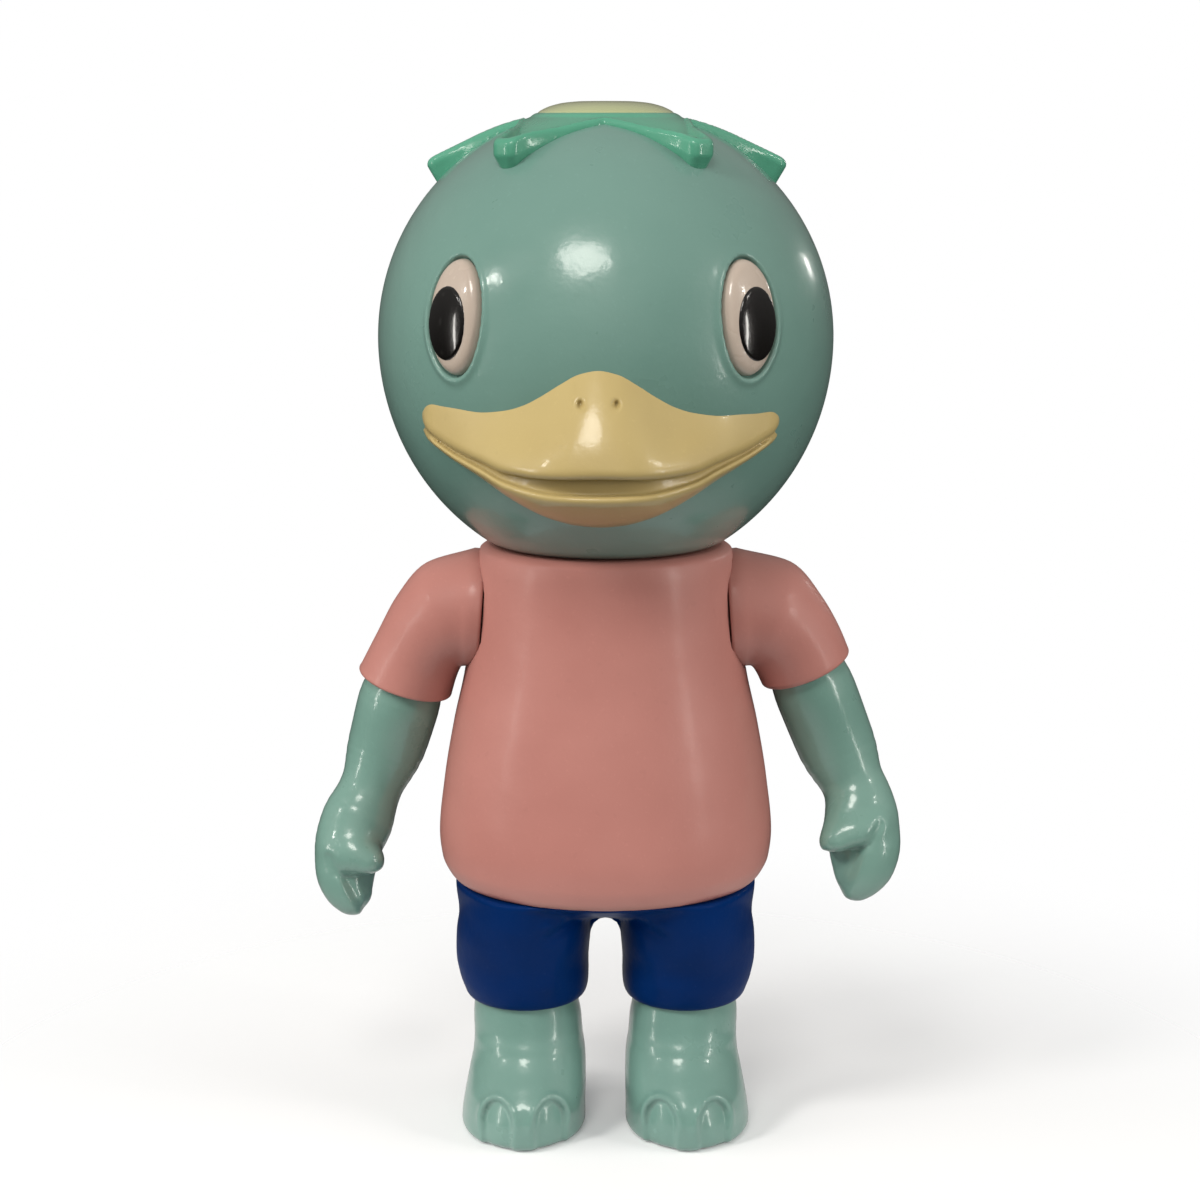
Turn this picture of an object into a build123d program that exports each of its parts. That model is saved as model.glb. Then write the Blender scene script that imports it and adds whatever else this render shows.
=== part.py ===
from build123d import *
from math import asin, cos, degrees, radians, sin, sqrt
import os

# Soft vinyl art toy: a big-headed water imp with a duck bill, in a T-shirt and shorts.
# Millimetres, +Z up, the figure faces -Y, its left side is +X. The soles stand on z = 0.
# Every casting is a hollow shell, and every seam is a snap joint with a flanged plug.

# ---- driving dimensions ----
AXIS_Y = 5.2            # the body's vertical axis, set back so that the whole toy is centred on y = 0
WALL = 2.5              # casting wall
SEAM_GAP = 0.3          # air between two castings that turn on each other
PLUG_FIT = 0.05         # radial clearance of a plug's shaft

HEAD_Z = 187.0          # height of the head's widest circle
HEAD_R = 51.5           # radius of that circle, and of the domed upper half
HEAD_DROP = 54.0        # semi-axis of the ellipse that the lower half follows
HEAD_BASE_Z = 140.3     # flat underside
HEAD_WALL = 3.0

DISH_R = 16.3
DISH_TOP_Z = 240.0
DISH_EDGE_Z = 237.0
# azimuth of each leaf from the front, and the reach of its tip
LEAVES = [(-37.5, 35.8), (37.5, 35.8), (-103.0, 41.2), (103.0, 41.2), (180.0, 38.5)]
LEAF_ROOT, LEAF_ROOT_HALF_W = 16.8, 13.7    # how far out a leaf is widest
LEAF_TIP_HALF_W = 2.8

EYE_AZIMUTH = 38.5
EYE_Z = 195.0
EYE_W, EYE_H = 14.5, 24.5
EYE_PROUD = 1.2
EYE_SEAT = 1.5          # depth of the eye socket
PUPIL_W, PUPIL_H = 9.8, 15.3
PUPIL_OUT, PUPIL_DOWN = 2.2, 2.0

TORSO_TOP_Z = 140.0
TORSO_HEM_Z = 60.5
SHOULDER_X, SHOULDER_Z = 30.95, 124.8
SHOULDER_R = 13.7
SHOULDER_TILT = 4.4     # the seam's lower edge stands out by this angle
FOREARM_R = 9.0
CUFF_RECESS = 2.6       # how deep the forearm sits in the sleeve
ARM_BACK_TILT = 6.0     # the upper arm points this far backwards

SHORTS_HEM_Z = 30.7
LEG_X = 18.9
LEG_R = 12.2
HEM_RECESS = 3.0

NECK_SHAFT_R = 13.0
WAIST_SHAFT_R = 13.0
SHOULDER_SHAFT_R = 5.6
CUFF_SHAFT_R = 4.4
KNEE_SHAFT_R = 6.5

HEAD_CENTRE = (0, AXIS_Y, HEAD_Z)
FRONT = Plane(origin=(0, AXIS_Y, 0), x_dir=(1, 0, 0), z_dir=(0, -1, 0))     # x and z as seen from ahead
SIDES = {"left": 1, "right": -1}


def finish(builder, label):
    builder.part.label = label
    export_step(builder.part, f"parts/{label}.step")


def level(z, x=0.0, y=0.0, x_dir=(1, 0, 0)):
    """A horizontal plane, x and y from the body's axis."""
    return Plane(origin=(x, AXIS_Y + y, z), x_dir=x_dir, z_dir=(0, 0, 1))


def ring_loft(rings):
    """A solid through a list of elliptic rings: (plane, long half-axis, short half-axis)."""
    with BuildPart() as form:
        for plane, half_a, half_b in rings:
            with BuildSketch(plane):
                Ellipse(half_a, half_b)
        loft()
    return form.part


def drum(plane, radius, start, end):
    """A plain disc or cylinder on a plane, from one height above it to another."""
    with BuildPart() as form:
        with BuildSketch(plane.offset(start)):
            Circle(radius)
        extrude(amount=end - start)
    return form.part


def plug(plane, shaft_r, owner_wall, other_wall):
    """A snap plug. The plane is the seam, its z points into the piece that turns on the plug.

    The wide foot is glued behind the owner's wall, the shaft crosses both walls, and the lip
    behind the other wall keeps the pieces together."""
    foot_t, lip_t = 2.0, 1.6
    foot_r = shaft_r + 1.6
    foot_low = -owner_wall - foot_t
    lip_low = SEAM_GAP + other_wall + SEAM_GAP
    lip_r = shaft_r + 1.4
    with BuildPart() as spool:
        with BuildSketch(Plane(origin=plane.origin, x_dir=plane.x_dir, z_dir=-plane.y_dir)):
            with BuildLine():
                Polyline(
                    (0, foot_low), (foot_r, foot_low), (foot_r, -owner_wall),
                    (shaft_r, -owner_wall), (shaft_r, lip_low), (lip_r, lip_low),
                    (lip_r, lip_low + 0.4), (shaft_r - 0.6, lip_low + lip_t),
                    (0, lip_low + lip_t), close=True)
            make_face()
        revolve(axis=Axis(plane.origin, plane.z_dir))
    return spool.part


os.makedirs("parts", exist_ok=True)


# ---- head ----
def head_solid(inset, base_z):
    """The head's outside, or its cavity when inset is the wall."""
    radius, drop = HEAD_R - inset, HEAD_DROP - inset
    base = base_z - HEAD_Z
    jaw = [(radius * sqrt(1 - (height / drop) ** 2), height) for height in (0, base / 2, base)]
    with BuildPart() as form:
        with BuildSketch(Plane(origin=HEAD_CENTRE, x_dir=(1, 0, 0), z_dir=(0, -1, 0))):
            with BuildLine():
                crown_arc = CenterArc((0, 0), radius, 0, 90)
                ThreePointArc(*jaw)
                Line(jaw[2], (0, base))
                Line((0, base), crown_arc @ 1)
            make_face()
        revolve(axis=Axis(HEAD_CENTRE, (0, 0, 1)))
    return form.part


def on_head(azimuth, elevation):
    """A plane at the head's centre whose z points out through the given direction."""
    turn, rise = radians(azimuth), radians(elevation)
    out = (sin(turn) * cos(rise), -cos(turn) * cos(rise), sin(rise))
    return Plane(origin=HEAD_CENTRE, x_dir=(cos(turn), sin(turn), 0), z_dir=out)


def oval_layer(plane, width, height, low_r, high_r, across=0.0, down=0.0):
    """An oval slice of a thick sphere about the head's centre."""
    with BuildPart() as form:
        with BuildSketch(plane):
            with Locations((across, -down)):
                Ellipse(width / 2, height / 2)
        extrude(amount=high_r + 5)
        with Locations(Location(HEAD_CENTRE)):
            Sphere(high_r, mode=Mode.INTERSECT)
            Sphere(low_r, mode=Mode.SUBTRACT)
    return form.part


EYE_RISE = degrees(asin((EYE_Z - HEAD_Z) / HEAD_R))
EYE_BACK_R = HEAD_R - EYE_SEAT
EYE_FRONT_R = HEAD_R + EYE_PROUD
PUPIL_BACK_R = EYE_FRONT_R - 1.0
PUPIL_FRONT_R = EYE_FRONT_R + 0.4
EYE_PEG_R = 2.0
LEAF_PEG_R = 1.8
DISH_PEG_R = 3.0
BEAK_PEG_R = 2.4
BEAK_PEG_X, BEAK_PEG_Z = 9.0, 168.0
PEG_END_R = HEAD_R - HEAD_WALL - 2.0     # pegs reach 2 mm into the hollow head
LEAF_PEG_RISE = 57.0
HEAD_OUTSIDE = head_solid(0, HEAD_BASE_Z)


def beak_peg(side, start, end, radius):
    """A level peg that holds one side of the beak."""
    peg_plane = Plane(origin=(side * BEAK_PEG_X, AXIS_Y, BEAK_PEG_Z), x_dir=(1, 0, 0), z_dir=(0, -1, 0))
    return drum(peg_plane, radius, start, end)


with BuildPart() as head_shell:
    add(HEAD_OUTSIDE)
    add(head_solid(HEAD_WALL, HEAD_BASE_Z + HEAD_WALL), mode=Mode.SUBTRACT)
    add(drum(level(HEAD_BASE_Z), NECK_SHAFT_R + PLUG_FIT, -1, HEAD_WALL + 1), mode=Mode.SUBTRACT)
    add(drum(level(HEAD_Z), DISH_PEG_R + PLUG_FIT, HEAD_R - 10, HEAD_R + 5), mode=Mode.SUBTRACT)
    for side in SIDES.values():
        eye_plane = on_head(side * EYE_AZIMUTH, EYE_RISE)
        socket = oval_layer(eye_plane, EYE_W + 0.1, EYE_H + 0.1, EYE_BACK_R, HEAD_R + 5)
        add(socket, mode=Mode.SUBTRACT)
        add(drum(eye_plane, EYE_PEG_R + PLUG_FIT, PEG_END_R - 4, HEAD_R), mode=Mode.SUBTRACT)
        add(beak_peg(side, 30, HEAD_R + 5, BEAK_PEG_R + PLUG_FIT), mode=Mode.SUBTRACT)
    for azimuth, reach in LEAVES:
        leaf_hole = drum(on_head(azimuth, LEAF_PEG_RISE), LEAF_PEG_R + PLUG_FIT, PEG_END_R - 4, HEAD_R + 5)
        add(leaf_hole, mode=Mode.SUBTRACT)
finish(head_shell, "head_shell")

for name, side in SIDES.items():
    eye_plane = on_head(side * EYE_AZIMUTH, EYE_RISE)
    with BuildPart() as eye:
        add(oval_layer(eye_plane, EYE_W, EYE_H, EYE_BACK_R, EYE_FRONT_R))
        pupil_seat = oval_layer(eye_plane, PUPIL_W, PUPIL_H, PUPIL_BACK_R, HEAD_R + 5,
                                side * PUPIL_OUT, PUPIL_DOWN)
        add(pupil_seat, mode=Mode.SUBTRACT)
        add(drum(eye_plane, EYE_PEG_R, PEG_END_R, EYE_BACK_R + 0.3))
    finish(eye, f"{name}_eye")
    with BuildPart() as pupil:
        add(oval_layer(eye_plane, PUPIL_W - 0.04, PUPIL_H - 0.04, PUPIL_BACK_R, PUPIL_FRONT_R,
                       side * PUPIL_OUT, PUPIL_DOWN))
    finish(pupil, f"{name}_pupil")

# dish: a shallow dome that lies on the top of the head
with BuildPart() as head_dish:
    with BuildSketch(FRONT):
        with BuildLine():
            dome = ThreePointArc((0, DISH_TOP_Z), (DISH_R * 0.55, DISH_TOP_Z - 0.7), (DISH_R, DISH_EDGE_Z))
            Line(dome @ 1, (DISH_R, HEAD_Z + 40))
            Line((DISH_R, HEAD_Z + 40), (0, HEAD_Z + 40))
            Line((0, HEAD_Z + 40), dome @ 0)
        make_face()
    revolve(axis=Axis((0, AXIS_Y, 0), (0, 0, 1)))
    add(HEAD_OUTSIDE, mode=Mode.SUBTRACT)
    add(drum(level(HEAD_Z), DISH_PEG_R, PEG_END_R, HEAD_R + 0.5))
finish(head_dish, "head_dish")

# leaf crown: five leaves around the dish, thin at the dish and thick at their blunt tips
# radius and height of the leaves' top, and of the slanting underside of the tips
CROWN_TOP = [(0, 240.2), (16.5, 236.8), (22.0, 235.1), (28.0, 232.8), (34.0, 230.1), (44.0, 225.4)]
CROWN_TIP = [(44.0, 225.4), (44.0, 223.0), (36.5, 219.8), (0, 219.8)]


def leaf_outline(azimuth, reach):
    """One leaf in plan, out from the head's axis."""
    root = (LEAF_ROOT, LEAF_ROOT_HALF_W)
    tip = (reach - 1.5, LEAF_TIP_HALF_W)
    below_root, below_tip = (root[0], -root[1]), (tip[0], -tip[1])
    with BuildSketch(Plane.XY.rotated((0, 0, azimuth - 90))) as leaf:
        with BuildLine():
            Polyline(below_root, (0, 0), root, tip)
            ThreePointArc(tip, (reach, 0), below_tip)
            Line(below_tip, below_root)
        make_face()
    return leaf.sketch


with BuildPart() as leaf_crown:
    with BuildSketch(level(HEAD_Z + 30)):
        for azimuth, reach in LEAVES:
            add(leaf_outline(azimuth, reach))
        Circle(DISH_R + 0.2, mode=Mode.SUBTRACT)
    extrude(amount=25)
    with BuildSketch(FRONT):
        with BuildLine():
            Spline(*CROWN_TOP)
            Polyline(*CROWN_TIP, CROWN_TOP[0])
        make_face()
    revolve(axis=Axis((0, AXIS_Y, 0), (0, 0, 1)), mode=Mode.INTERSECT)
    add(HEAD_OUTSIDE, mode=Mode.SUBTRACT)
    for azimuth, reach in LEAVES:
        add(drum(on_head(azimuth, LEAF_PEG_RISE), LEAF_PEG_R, PEG_END_R, HEAD_R + 0.8))
finish(leaf_crown, "leaf_crown")

# beak: the common volume of its front, plan and side outlines, seated on the head
BEAK_FRONT = [(38.9, 171.6), (38.1, 168.4), (33.6, 165.0), (23.4, 159.0), (10.2, 152.0)]
BEAK_CREST = [(37.1, 174.7), (26.7, 174.1), (19.9, 175.4), (10.0, 180.4)]
BEAK_PLAN = [(43.0, -25.0), (38.8, -31.2), (33.0, -39.0), (27.0, -46.5), (18.0, -55.5), (9.0, -60.8)]
BEAK_TOP_Z, BEAK_BOTTOM_Z, BEAK_TIP_Y = 185.6, 147.0, -62.0
# y from the axis and z, from the top of the bill over its blunt edge to the chin
BEAK_RIDGE = [(-30, 189.0), (-51.3, 183.5), (-55.0, 177.5), (-59.0, 170.5), (-62.0, 165.5)]
BEAK_EDGE = [(-62.0, 165.5), (-60.4, 162.8), (-58.6, 160.5)]
BEAK_CHIN = [(-58.6, 160.5), (-57.3, 156.4), (-50.0, 151.6), (-30, 148.0)]


def mirrored(points):
    return [(-x, y) for x, y in reversed(points)]


with BuildPart() as beak:
    with BuildSketch(FRONT):
        with BuildLine():
            Spline(*BEAK_FRONT, (0, BEAK_BOTTOM_Z), *mirrored(BEAK_FRONT))
            crest = [BEAK_FRONT[0], *BEAK_CREST]
            Spline(*crest, (0, BEAK_TOP_Z), *mirrored(crest))
        make_face()
    extrude(amount=80)
    with BuildSketch(level(140)):
        with BuildLine():
            Spline(*BEAK_PLAN, (0, BEAK_TIP_Y), *mirrored(BEAK_PLAN))
            Polyline((-43.0, -25.0), (-43.0, 0), (43.0, 0), (43.0, -25.0))
        make_face()
    extrude(amount=60, mode=Mode.INTERSECT)
    with BuildSketch(Plane(origin=(0, AXIS_Y, 0), x_dir=(0, 1, 0), z_dir=(1, 0, 0))):
        with BuildLine():
            Spline(*BEAK_RIDGE)
            Polyline(*BEAK_EDGE)
            Spline(*BEAK_CHIN)
            Line(BEAK_CHIN[-1], BEAK_RIDGE[0])
        make_face()
    extrude(amount=50, both=True, mode=Mode.INTERSECT)
    add(HEAD_OUTSIDE, mode=Mode.SUBTRACT)
    for side in SIDES.values():
        add(beak_peg(side, 42.0, 50.0, BEAK_PEG_R))
finish(beak, "beak")

# ---- torso ----
# height, half width, half depth
TORSO_RINGS = [(60.5, 35.0, 29.5), (62.5, 36.8, 31.0), (66.0, 38.4, 32.4), (71.5, 39.0, 33.0),
               (84.5, 37.7, 32.2), (98.0, 35.4, 31.0), (111.0, 32.6, 29.8), (125.0, 31.0, 29.3),
               (135.0, 30.2, 29.2), (138.5, 29.2, 28.8), (140.0, 27.6, 27.5)]


def torso_solid(inset, low_z, high_z):
    rings = [(level(min(max(z, low_z), high_z)), half_w - inset, half_d - inset)
             for z, half_w, half_d in TORSO_RINGS if low_z - 2.2 < z < high_z + 2.2]
    return ring_loft(rings)


def shoulder_plane(side, shift=0.0):
    """The shoulder seam on the torso's side; z points out of the body."""
    tilt = radians(SHOULDER_TILT)
    out = Vector(side * cos(tilt), 0, sin(tilt))
    origin = Vector(side * SHOULDER_X, AXIS_Y, SHOULDER_Z) + out * shift
    return Plane(origin=origin, x_dir=(0, side, 0), z_dir=out)


with BuildPart() as torso_shell:
    add(torso_solid(0, TORSO_HEM_Z, TORSO_TOP_Z))
    for side in SIDES.values():
        seam = shoulder_plane(side)
        add(ring_loft([(seam.offset(-12), 16.0, 16.0), (seam.offset(-6), 15.4, 15.4), (seam, SHOULDER_R, SHOULDER_R)]))
    add(torso_solid(WALL, TORSO_HEM_Z + WALL, TORSO_TOP_Z - WALL), mode=Mode.SUBTRACT)
    add(drum(level(TORSO_TOP_Z), NECK_SHAFT_R + PLUG_FIT, -WALL - 1, 1), mode=Mode.SUBTRACT)
    add(drum(level(TORSO_HEM_Z), WAIST_SHAFT_R + PLUG_FIT, -1, WALL + 1), mode=Mode.SUBTRACT)
    for side in SIDES.values():
        seam = shoulder_plane(side)
        add(drum(seam, SHOULDER_R + 1.0, 0, 8), mode=Mode.SUBTRACT)
        add(drum(seam, SHOULDER_SHAFT_R + 3.0, -16, -WALL), mode=Mode.SUBTRACT)
        add(drum(seam, SHOULDER_SHAFT_R + PLUG_FIT, -WALL - 1, 1), mode=Mode.SUBTRACT)
finish(torso_shell, "torso_shell")

with BuildPart() as neck_plug:
    add(plug(level(TORSO_TOP_Z), NECK_SHAFT_R, WALL, HEAD_WALL))
finish(neck_plug, "neck_plug")

# ---- arms ----
# Sleeve rings as (inner x, z), (outer x, z), seen from the front, from the shoulder to the cuff.
SLEEVE_RINGS = {
    "left": [((32.3, 111.1), (30.2, 138.5)), ((33.3, 111.2), (43.0, 135.2)), ((34.0, 110.8), (50.0, 127.4)),
             ((35.1, 109.2), (54.4, 119.8)), ((37.0, 106.2), (56.4, 114.4))],
    "right": [((32.3, 111.1), (30.2, 138.5)), ((33.3, 111.0), (41.6, 135.0)), ((34.0, 109.9), (48.2, 127.6)),
              ((34.9, 107.6), (53.2, 118.4)), ((36.6, 103.6), (57.0, 110.2))],
}
# Forearm and hand rings below the cuff: centre x, y, z, half width, half thickness.
FOREARM_RINGS = {
    "left": [(54.4, 4.2, 91.5, 8.9, 8.9), (58.6, 1.0, 80.6, 7.3, 7.2), (60.4, -2.5, 72.5, 8.6, 7.0),
             (60.6, -5.0, 65.5, 8.8, 6.8), (60.2, -6.6, 59.5, 6.9, 5.6), (59.6, -7.6, 54.8, 3.6, 3.2)],
    "right": [(51.4, 4.2, 91.5, 8.9, 8.9), (55.7, 1.0, 80.2, 7.3, 7.2), (58.9, -2.5, 71.5, 8.6, 7.0),
              (60.9, -5.0, 64.0, 8.8, 6.8), (60.4, -6.6, 57.5, 6.9, 5.6), (59.2, -7.6, 52.2, 3.6, 3.2)],
}
THUMBS = {"left": ((56.5, -8.0, 72.0), (53.6, -11.0, 66.0)), "right": ((57.0, -8.0, 67.5), (54.8, -10.5, 61.5))}
THUMB_R = 3.6


def sleeve_plane(side, ring, swing):
    """The plane of one sleeve ring: x runs from the inner to the outer point, z points to the hand."""
    (inner_x, inner_z), (outer_x, outer_z) = ring
    across = Vector(side * (outer_x - inner_x), 0, outer_z - inner_z).normalized()
    middle_z = (inner_z + outer_z) / 2
    back = radians(ARM_BACK_TILT) * swing
    down = Vector(0, 1, 0).cross(across) * side
    out = (down * cos(back) + Vector(0, sin(back), 0)).normalized()
    origin = (side * (inner_x + outer_x) / 2, AXIS_Y + (SHOULDER_Z - middle_z) * sin(back), middle_z)
    return Plane(origin=origin, x_dir=across, z_dir=out)


def half_span(ring):
    (inner_x, inner_z), (outer_x, outer_z) = ring
    return Vector(outer_x - inner_x, outer_z - inner_z).length / 2


for name, side in SIDES.items():
    rings = SLEEVE_RINGS[name]
    seam = shoulder_plane(side, SEAM_GAP)
    planes = [seam] + [sleeve_plane(side, ring, min(1, index / 3)) for index, ring in enumerate(rings)][1:]
    radii = [SHOULDER_R] + [half_span(ring) for ring in rings[1:]]
    cuff = planes[-1]
    with BuildPart() as sleeve:
        add(ring_loft([(plane, r, r) for plane, r in zip(planes, radii)]))
        cavity = [(seam.offset(WALL), SHOULDER_SHAFT_R + 2.2, SHOULDER_SHAFT_R + 2.2)]
        cavity += [(plane, r - WALL, r - WALL) for plane, r in zip(planes[1:3], radii[1:3])]
        cavity += [(cuff.offset(-CUFF_RECESS - WALL), FOREARM_R - 0.8, FOREARM_R - 0.8)]
        add(ring_loft(cavity), mode=Mode.SUBTRACT)
        add(drum(cuff, FOREARM_R + SEAM_GAP, -CUFF_RECESS, 5), mode=Mode.SUBTRACT)
        add(drum(cuff, CUFF_SHAFT_R + PLUG_FIT, -CUFF_RECESS - WALL - 1, 5), mode=Mode.SUBTRACT)
        add(drum(seam, SHOULDER_SHAFT_R + PLUG_FIT, -1, WALL + 1), mode=Mode.SUBTRACT)
    finish(sleeve, f"{name}_sleeve")

    inward = Plane(origin=seam.origin, x_dir=seam.x_dir, z_dir=-seam.z_dir)
    with BuildPart() as shoulder_plug:
        add(plug(inward, SHOULDER_SHAFT_R, WALL, WALL))
    finish(shoulder_plug, f"{name}_shoulder_plug")

    top = cuff.offset(-CUFF_RECESS + SEAM_GAP)
    arm_rings = [(top, FOREARM_R, FOREARM_R), (cuff.offset(2.5), FOREARM_R, FOREARM_R)]
    points = [top.origin, cuff.offset(2.5).origin]
    points += [Vector(side * x, AXIS_Y + y, z) for x, y, z, half_w, half_t in FOREARM_RINGS[name]]
    for index, (x, y, z, half_w, half_t) in enumerate(FOREARM_RINGS[name], start=2):
        after = points[min(index + 1, len(points) - 1)]
        along = (after - points[index - 1]).normalized()
        across = (cuff.x_dir - along * along.dot(cuff.x_dir)).normalized()
        arm_rings.append((Plane(origin=points[index], x_dir=across, z_dir=along), half_w, half_t))
    thumb_root, thumb_tip = [Vector(side * x, AXIS_Y + y, z) for x, y, z in THUMBS[name]]
    thumb_plane = Plane(origin=thumb_root, z_dir=(thumb_tip - thumb_root).normalized())
    with BuildPart() as forearm:
        add(ring_loft(arm_rings))
        add(drum(thumb_plane, THUMB_R, -3, (thumb_tip - thumb_root).length))
        with Locations(Location(thumb_tip)):
            Sphere(THUMB_R)
        hollow = [(plane, a - WALL, b - WALL) for plane, a, b in arm_rings[1:4]]
        add(ring_loft([(top.offset(WALL), FOREARM_R - WALL, FOREARM_R - WALL)] + hollow), mode=Mode.SUBTRACT)
        add(drum(top, CUFF_SHAFT_R + PLUG_FIT, -1, WALL + 1), mode=Mode.SUBTRACT)
    finish(forearm, f"{name}_forearm")

    upward = Plane(origin=top.origin, x_dir=top.x_dir, z_dir=-top.z_dir)
    with BuildPart() as cuff_plug:
        add(plug(upward, CUFF_SHAFT_R, WALL, WALL))
    finish(cuff_plug, f"{name}_cuff_plug")


# ---- shorts ----
# height, half width, half depth of the hip block
HIP_RINGS = [(50.0, 33.6, 4.0), (52.5, 34.6, 11.5), (55.0, 35.2, 18.0), (57.5, 35.4, 23.6), (60.2, 34.6, 28.2)]
# height, centre x, half width, half depth of one leg of the shorts
SHORT_LEG_RINGS = [(30.7, 18.9, 13.2, 13.2), (32.6, 18.9, 14.4, 14.6), (36.4, 19.3, 15.3, 16.4),
                   (41.0, 19.7, 15.7, 18.0), (47.0, 19.4, 15.9, 21.0), (54.0, 18.8, 15.4, 24.0),
                   (60.2, 18.0, 15.8, 25.6)]
# the arch of the hollow that joins the hollows of the two legs
HIP_HOLLOW = [(54.0, 34.0, 14.5), (57.7, 35.2, 23.5)]
SHORTS_TOP_Z = TORSO_HEM_Z - SEAM_GAP


def shorts_leg(side, inset, low_z, high_z):
    rings = [(level(min(max(z, low_z), high_z), side * x, 0, (0, 1, 0)), half_d - inset, half_w - inset)
             for z, x, half_w, half_d in SHORT_LEG_RINGS if low_z - 3.2 < z < high_z + 3.2]
    return ring_loft(rings)


with BuildPart() as shorts:
    add(ring_loft([(level(z), half_w, half_d) for z, half_w, half_d in HIP_RINGS]))
    for side in SIDES.values():
        add(shorts_leg(side, 0, SHORTS_HEM_Z, SHORTS_TOP_Z))
    hem_floor = SHORTS_HEM_Z + HEM_RECESS
    hip_hollow = ring_loft([(level(z), half_w - WALL, half_d - WALL) for z, half_w, half_d in HIP_HOLLOW])
    add(hip_hollow, mode=Mode.SUBTRACT)
    for side in SIDES.values():
        add(shorts_leg(side, WALL, hem_floor + WALL, SHORTS_TOP_Z - WALL), mode=Mode.SUBTRACT)
        foot_axis = level(SHORTS_HEM_Z, side * LEG_X)
        add(drum(foot_axis, LEG_R + SEAM_GAP, -1, HEM_RECESS), mode=Mode.SUBTRACT)
        add(drum(foot_axis, KNEE_SHAFT_R + PLUG_FIT, -1, HEM_RECESS + WALL + 1), mode=Mode.SUBTRACT)
    add(drum(level(SHORTS_TOP_Z), WAIST_SHAFT_R + PLUG_FIT, -WALL - 1, 1), mode=Mode.SUBTRACT)
finish(shorts, "shorts")

with BuildPart() as waist_plug:
    add(plug(level(SHORTS_TOP_Z), WAIST_SHAFT_R, WALL, WALL))
finish(waist_plug, "waist_plug")

# ---- legs ----
# height, centre x, centre y, half width, half length
LEG_RINGS = [(0.0, 19.4, -4.3, 14.0, 18.6), (2.2, 19.5, -4.6, 14.7, 19.8), (6.0, 19.3, -4.7, 14.5, 20.2),
             (10.0, 18.9, -4.4, 14.2, 19.6), (14.0, 18.5, -3.1, 13.8, 17.9), (18.0, 18.2, -1.4, 13.3, 15.7),
             (22.0, 18.4, -0.3, 12.9, 13.9), (26.0, 18.6, 0.0, 12.8, 13.0), (30.5, 18.9, 0.0, 12.2, 12.2)]

for name, side in SIDES.items():
    leg_top = SHORTS_HEM_Z + HEM_RECESS - SEAM_GAP
    rings = [(level(z, side * x, y, (0, 1, 0)), half_l, half_w) for z, x, y, half_w, half_l in LEG_RINGS]
    rings += [(level(leg_top, side * LEG_X, 0, (0, 1, 0)), LEG_R, LEG_R)]
    with BuildPart() as leg:
        add(ring_loft(rings))
        cavity = [(plane, a - WALL, b - WALL) for plane, a, b in rings[1:-1]]
        cavity += [(level(leg_top - WALL, side * LEG_X, 0, (0, 1, 0)), LEG_R - WALL, LEG_R - WALL)]
        add(ring_loft(cavity), mode=Mode.SUBTRACT)
        add(drum(level(leg_top, side * LEG_X), KNEE_SHAFT_R + PLUG_FIT, -WALL - 1, 1), mode=Mode.SUBTRACT)
    finish(leg, f"{name}_leg")
    with BuildPart() as knee_plug:
        add(plug(level(leg_top, side * LEG_X), KNEE_SHAFT_R, WALL, WALL))
    finish(knee_plug, f"{name}_knee_plug")
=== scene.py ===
import math

import bpy
import numpy as np
import openvdb
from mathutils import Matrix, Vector


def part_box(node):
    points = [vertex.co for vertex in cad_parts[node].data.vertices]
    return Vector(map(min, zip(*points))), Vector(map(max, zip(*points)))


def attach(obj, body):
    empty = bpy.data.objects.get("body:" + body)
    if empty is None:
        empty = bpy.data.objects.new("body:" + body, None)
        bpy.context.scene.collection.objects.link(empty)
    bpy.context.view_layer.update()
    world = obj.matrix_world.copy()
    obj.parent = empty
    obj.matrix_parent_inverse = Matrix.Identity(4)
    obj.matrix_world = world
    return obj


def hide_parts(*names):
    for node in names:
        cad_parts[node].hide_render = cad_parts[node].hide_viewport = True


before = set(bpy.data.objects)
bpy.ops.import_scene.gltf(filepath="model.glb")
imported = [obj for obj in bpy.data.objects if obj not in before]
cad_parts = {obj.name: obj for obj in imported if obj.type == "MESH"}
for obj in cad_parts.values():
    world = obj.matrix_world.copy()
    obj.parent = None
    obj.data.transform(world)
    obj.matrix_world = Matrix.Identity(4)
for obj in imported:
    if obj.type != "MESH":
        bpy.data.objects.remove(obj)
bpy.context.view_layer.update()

# Looks of a soft vinyl art toy. Shapes are worked out in millimetres, with x and y measured from
# the body's upright axis, and turned into metres of the shared frame when a mesh is made.
# The figure faces -Y and its left side is +X.
MM = 0.001


def box_mm(node):
    """Low and high corner of a CAD node."""
    low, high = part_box(node)
    return np.array(low) / MM, np.array(high) / MM


# ---- sizes read from the frame ----
head_low, head_high = box_mm("head_shell")
torso_low, torso_high = box_mm("torso_shell")
shorts_low, shorts_high = box_mm("shorts")
dish_low, dish_high = box_mm("head_dish")
leg_high_z = box_mm("left_leg")[1][2]
AXIS_Y = (head_low[1] + head_high[1]) / 2
HEAD_R = (head_high[0] - head_low[0]) / 2
CROWN_LOSS = 0.1                         # the dish's peg hole takes this much off the crown
HEAD_Z = head_high[2] + CROWN_LOSS - HEAD_R
FACE_GAP = 0.06                          # hairline between flat faces that turn on each other
HEAD_BASE_Z = torso_high[2] + FACE_GAP
SEAM_GAP = 0.3                           # around a limb that turns in a cuff or a hem
SIDES = {"left": 1, "right": -1}


# ---- distance fields: negative inside a form, in millimetres ----
# A factor a little under 1 on the height over a sloping face turns it into distance.
TINY = 1e-6                              # keeps a division at a centre finite
LIMB_STEPS = 4                           # straight runs from one point of a limb to the next


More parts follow.
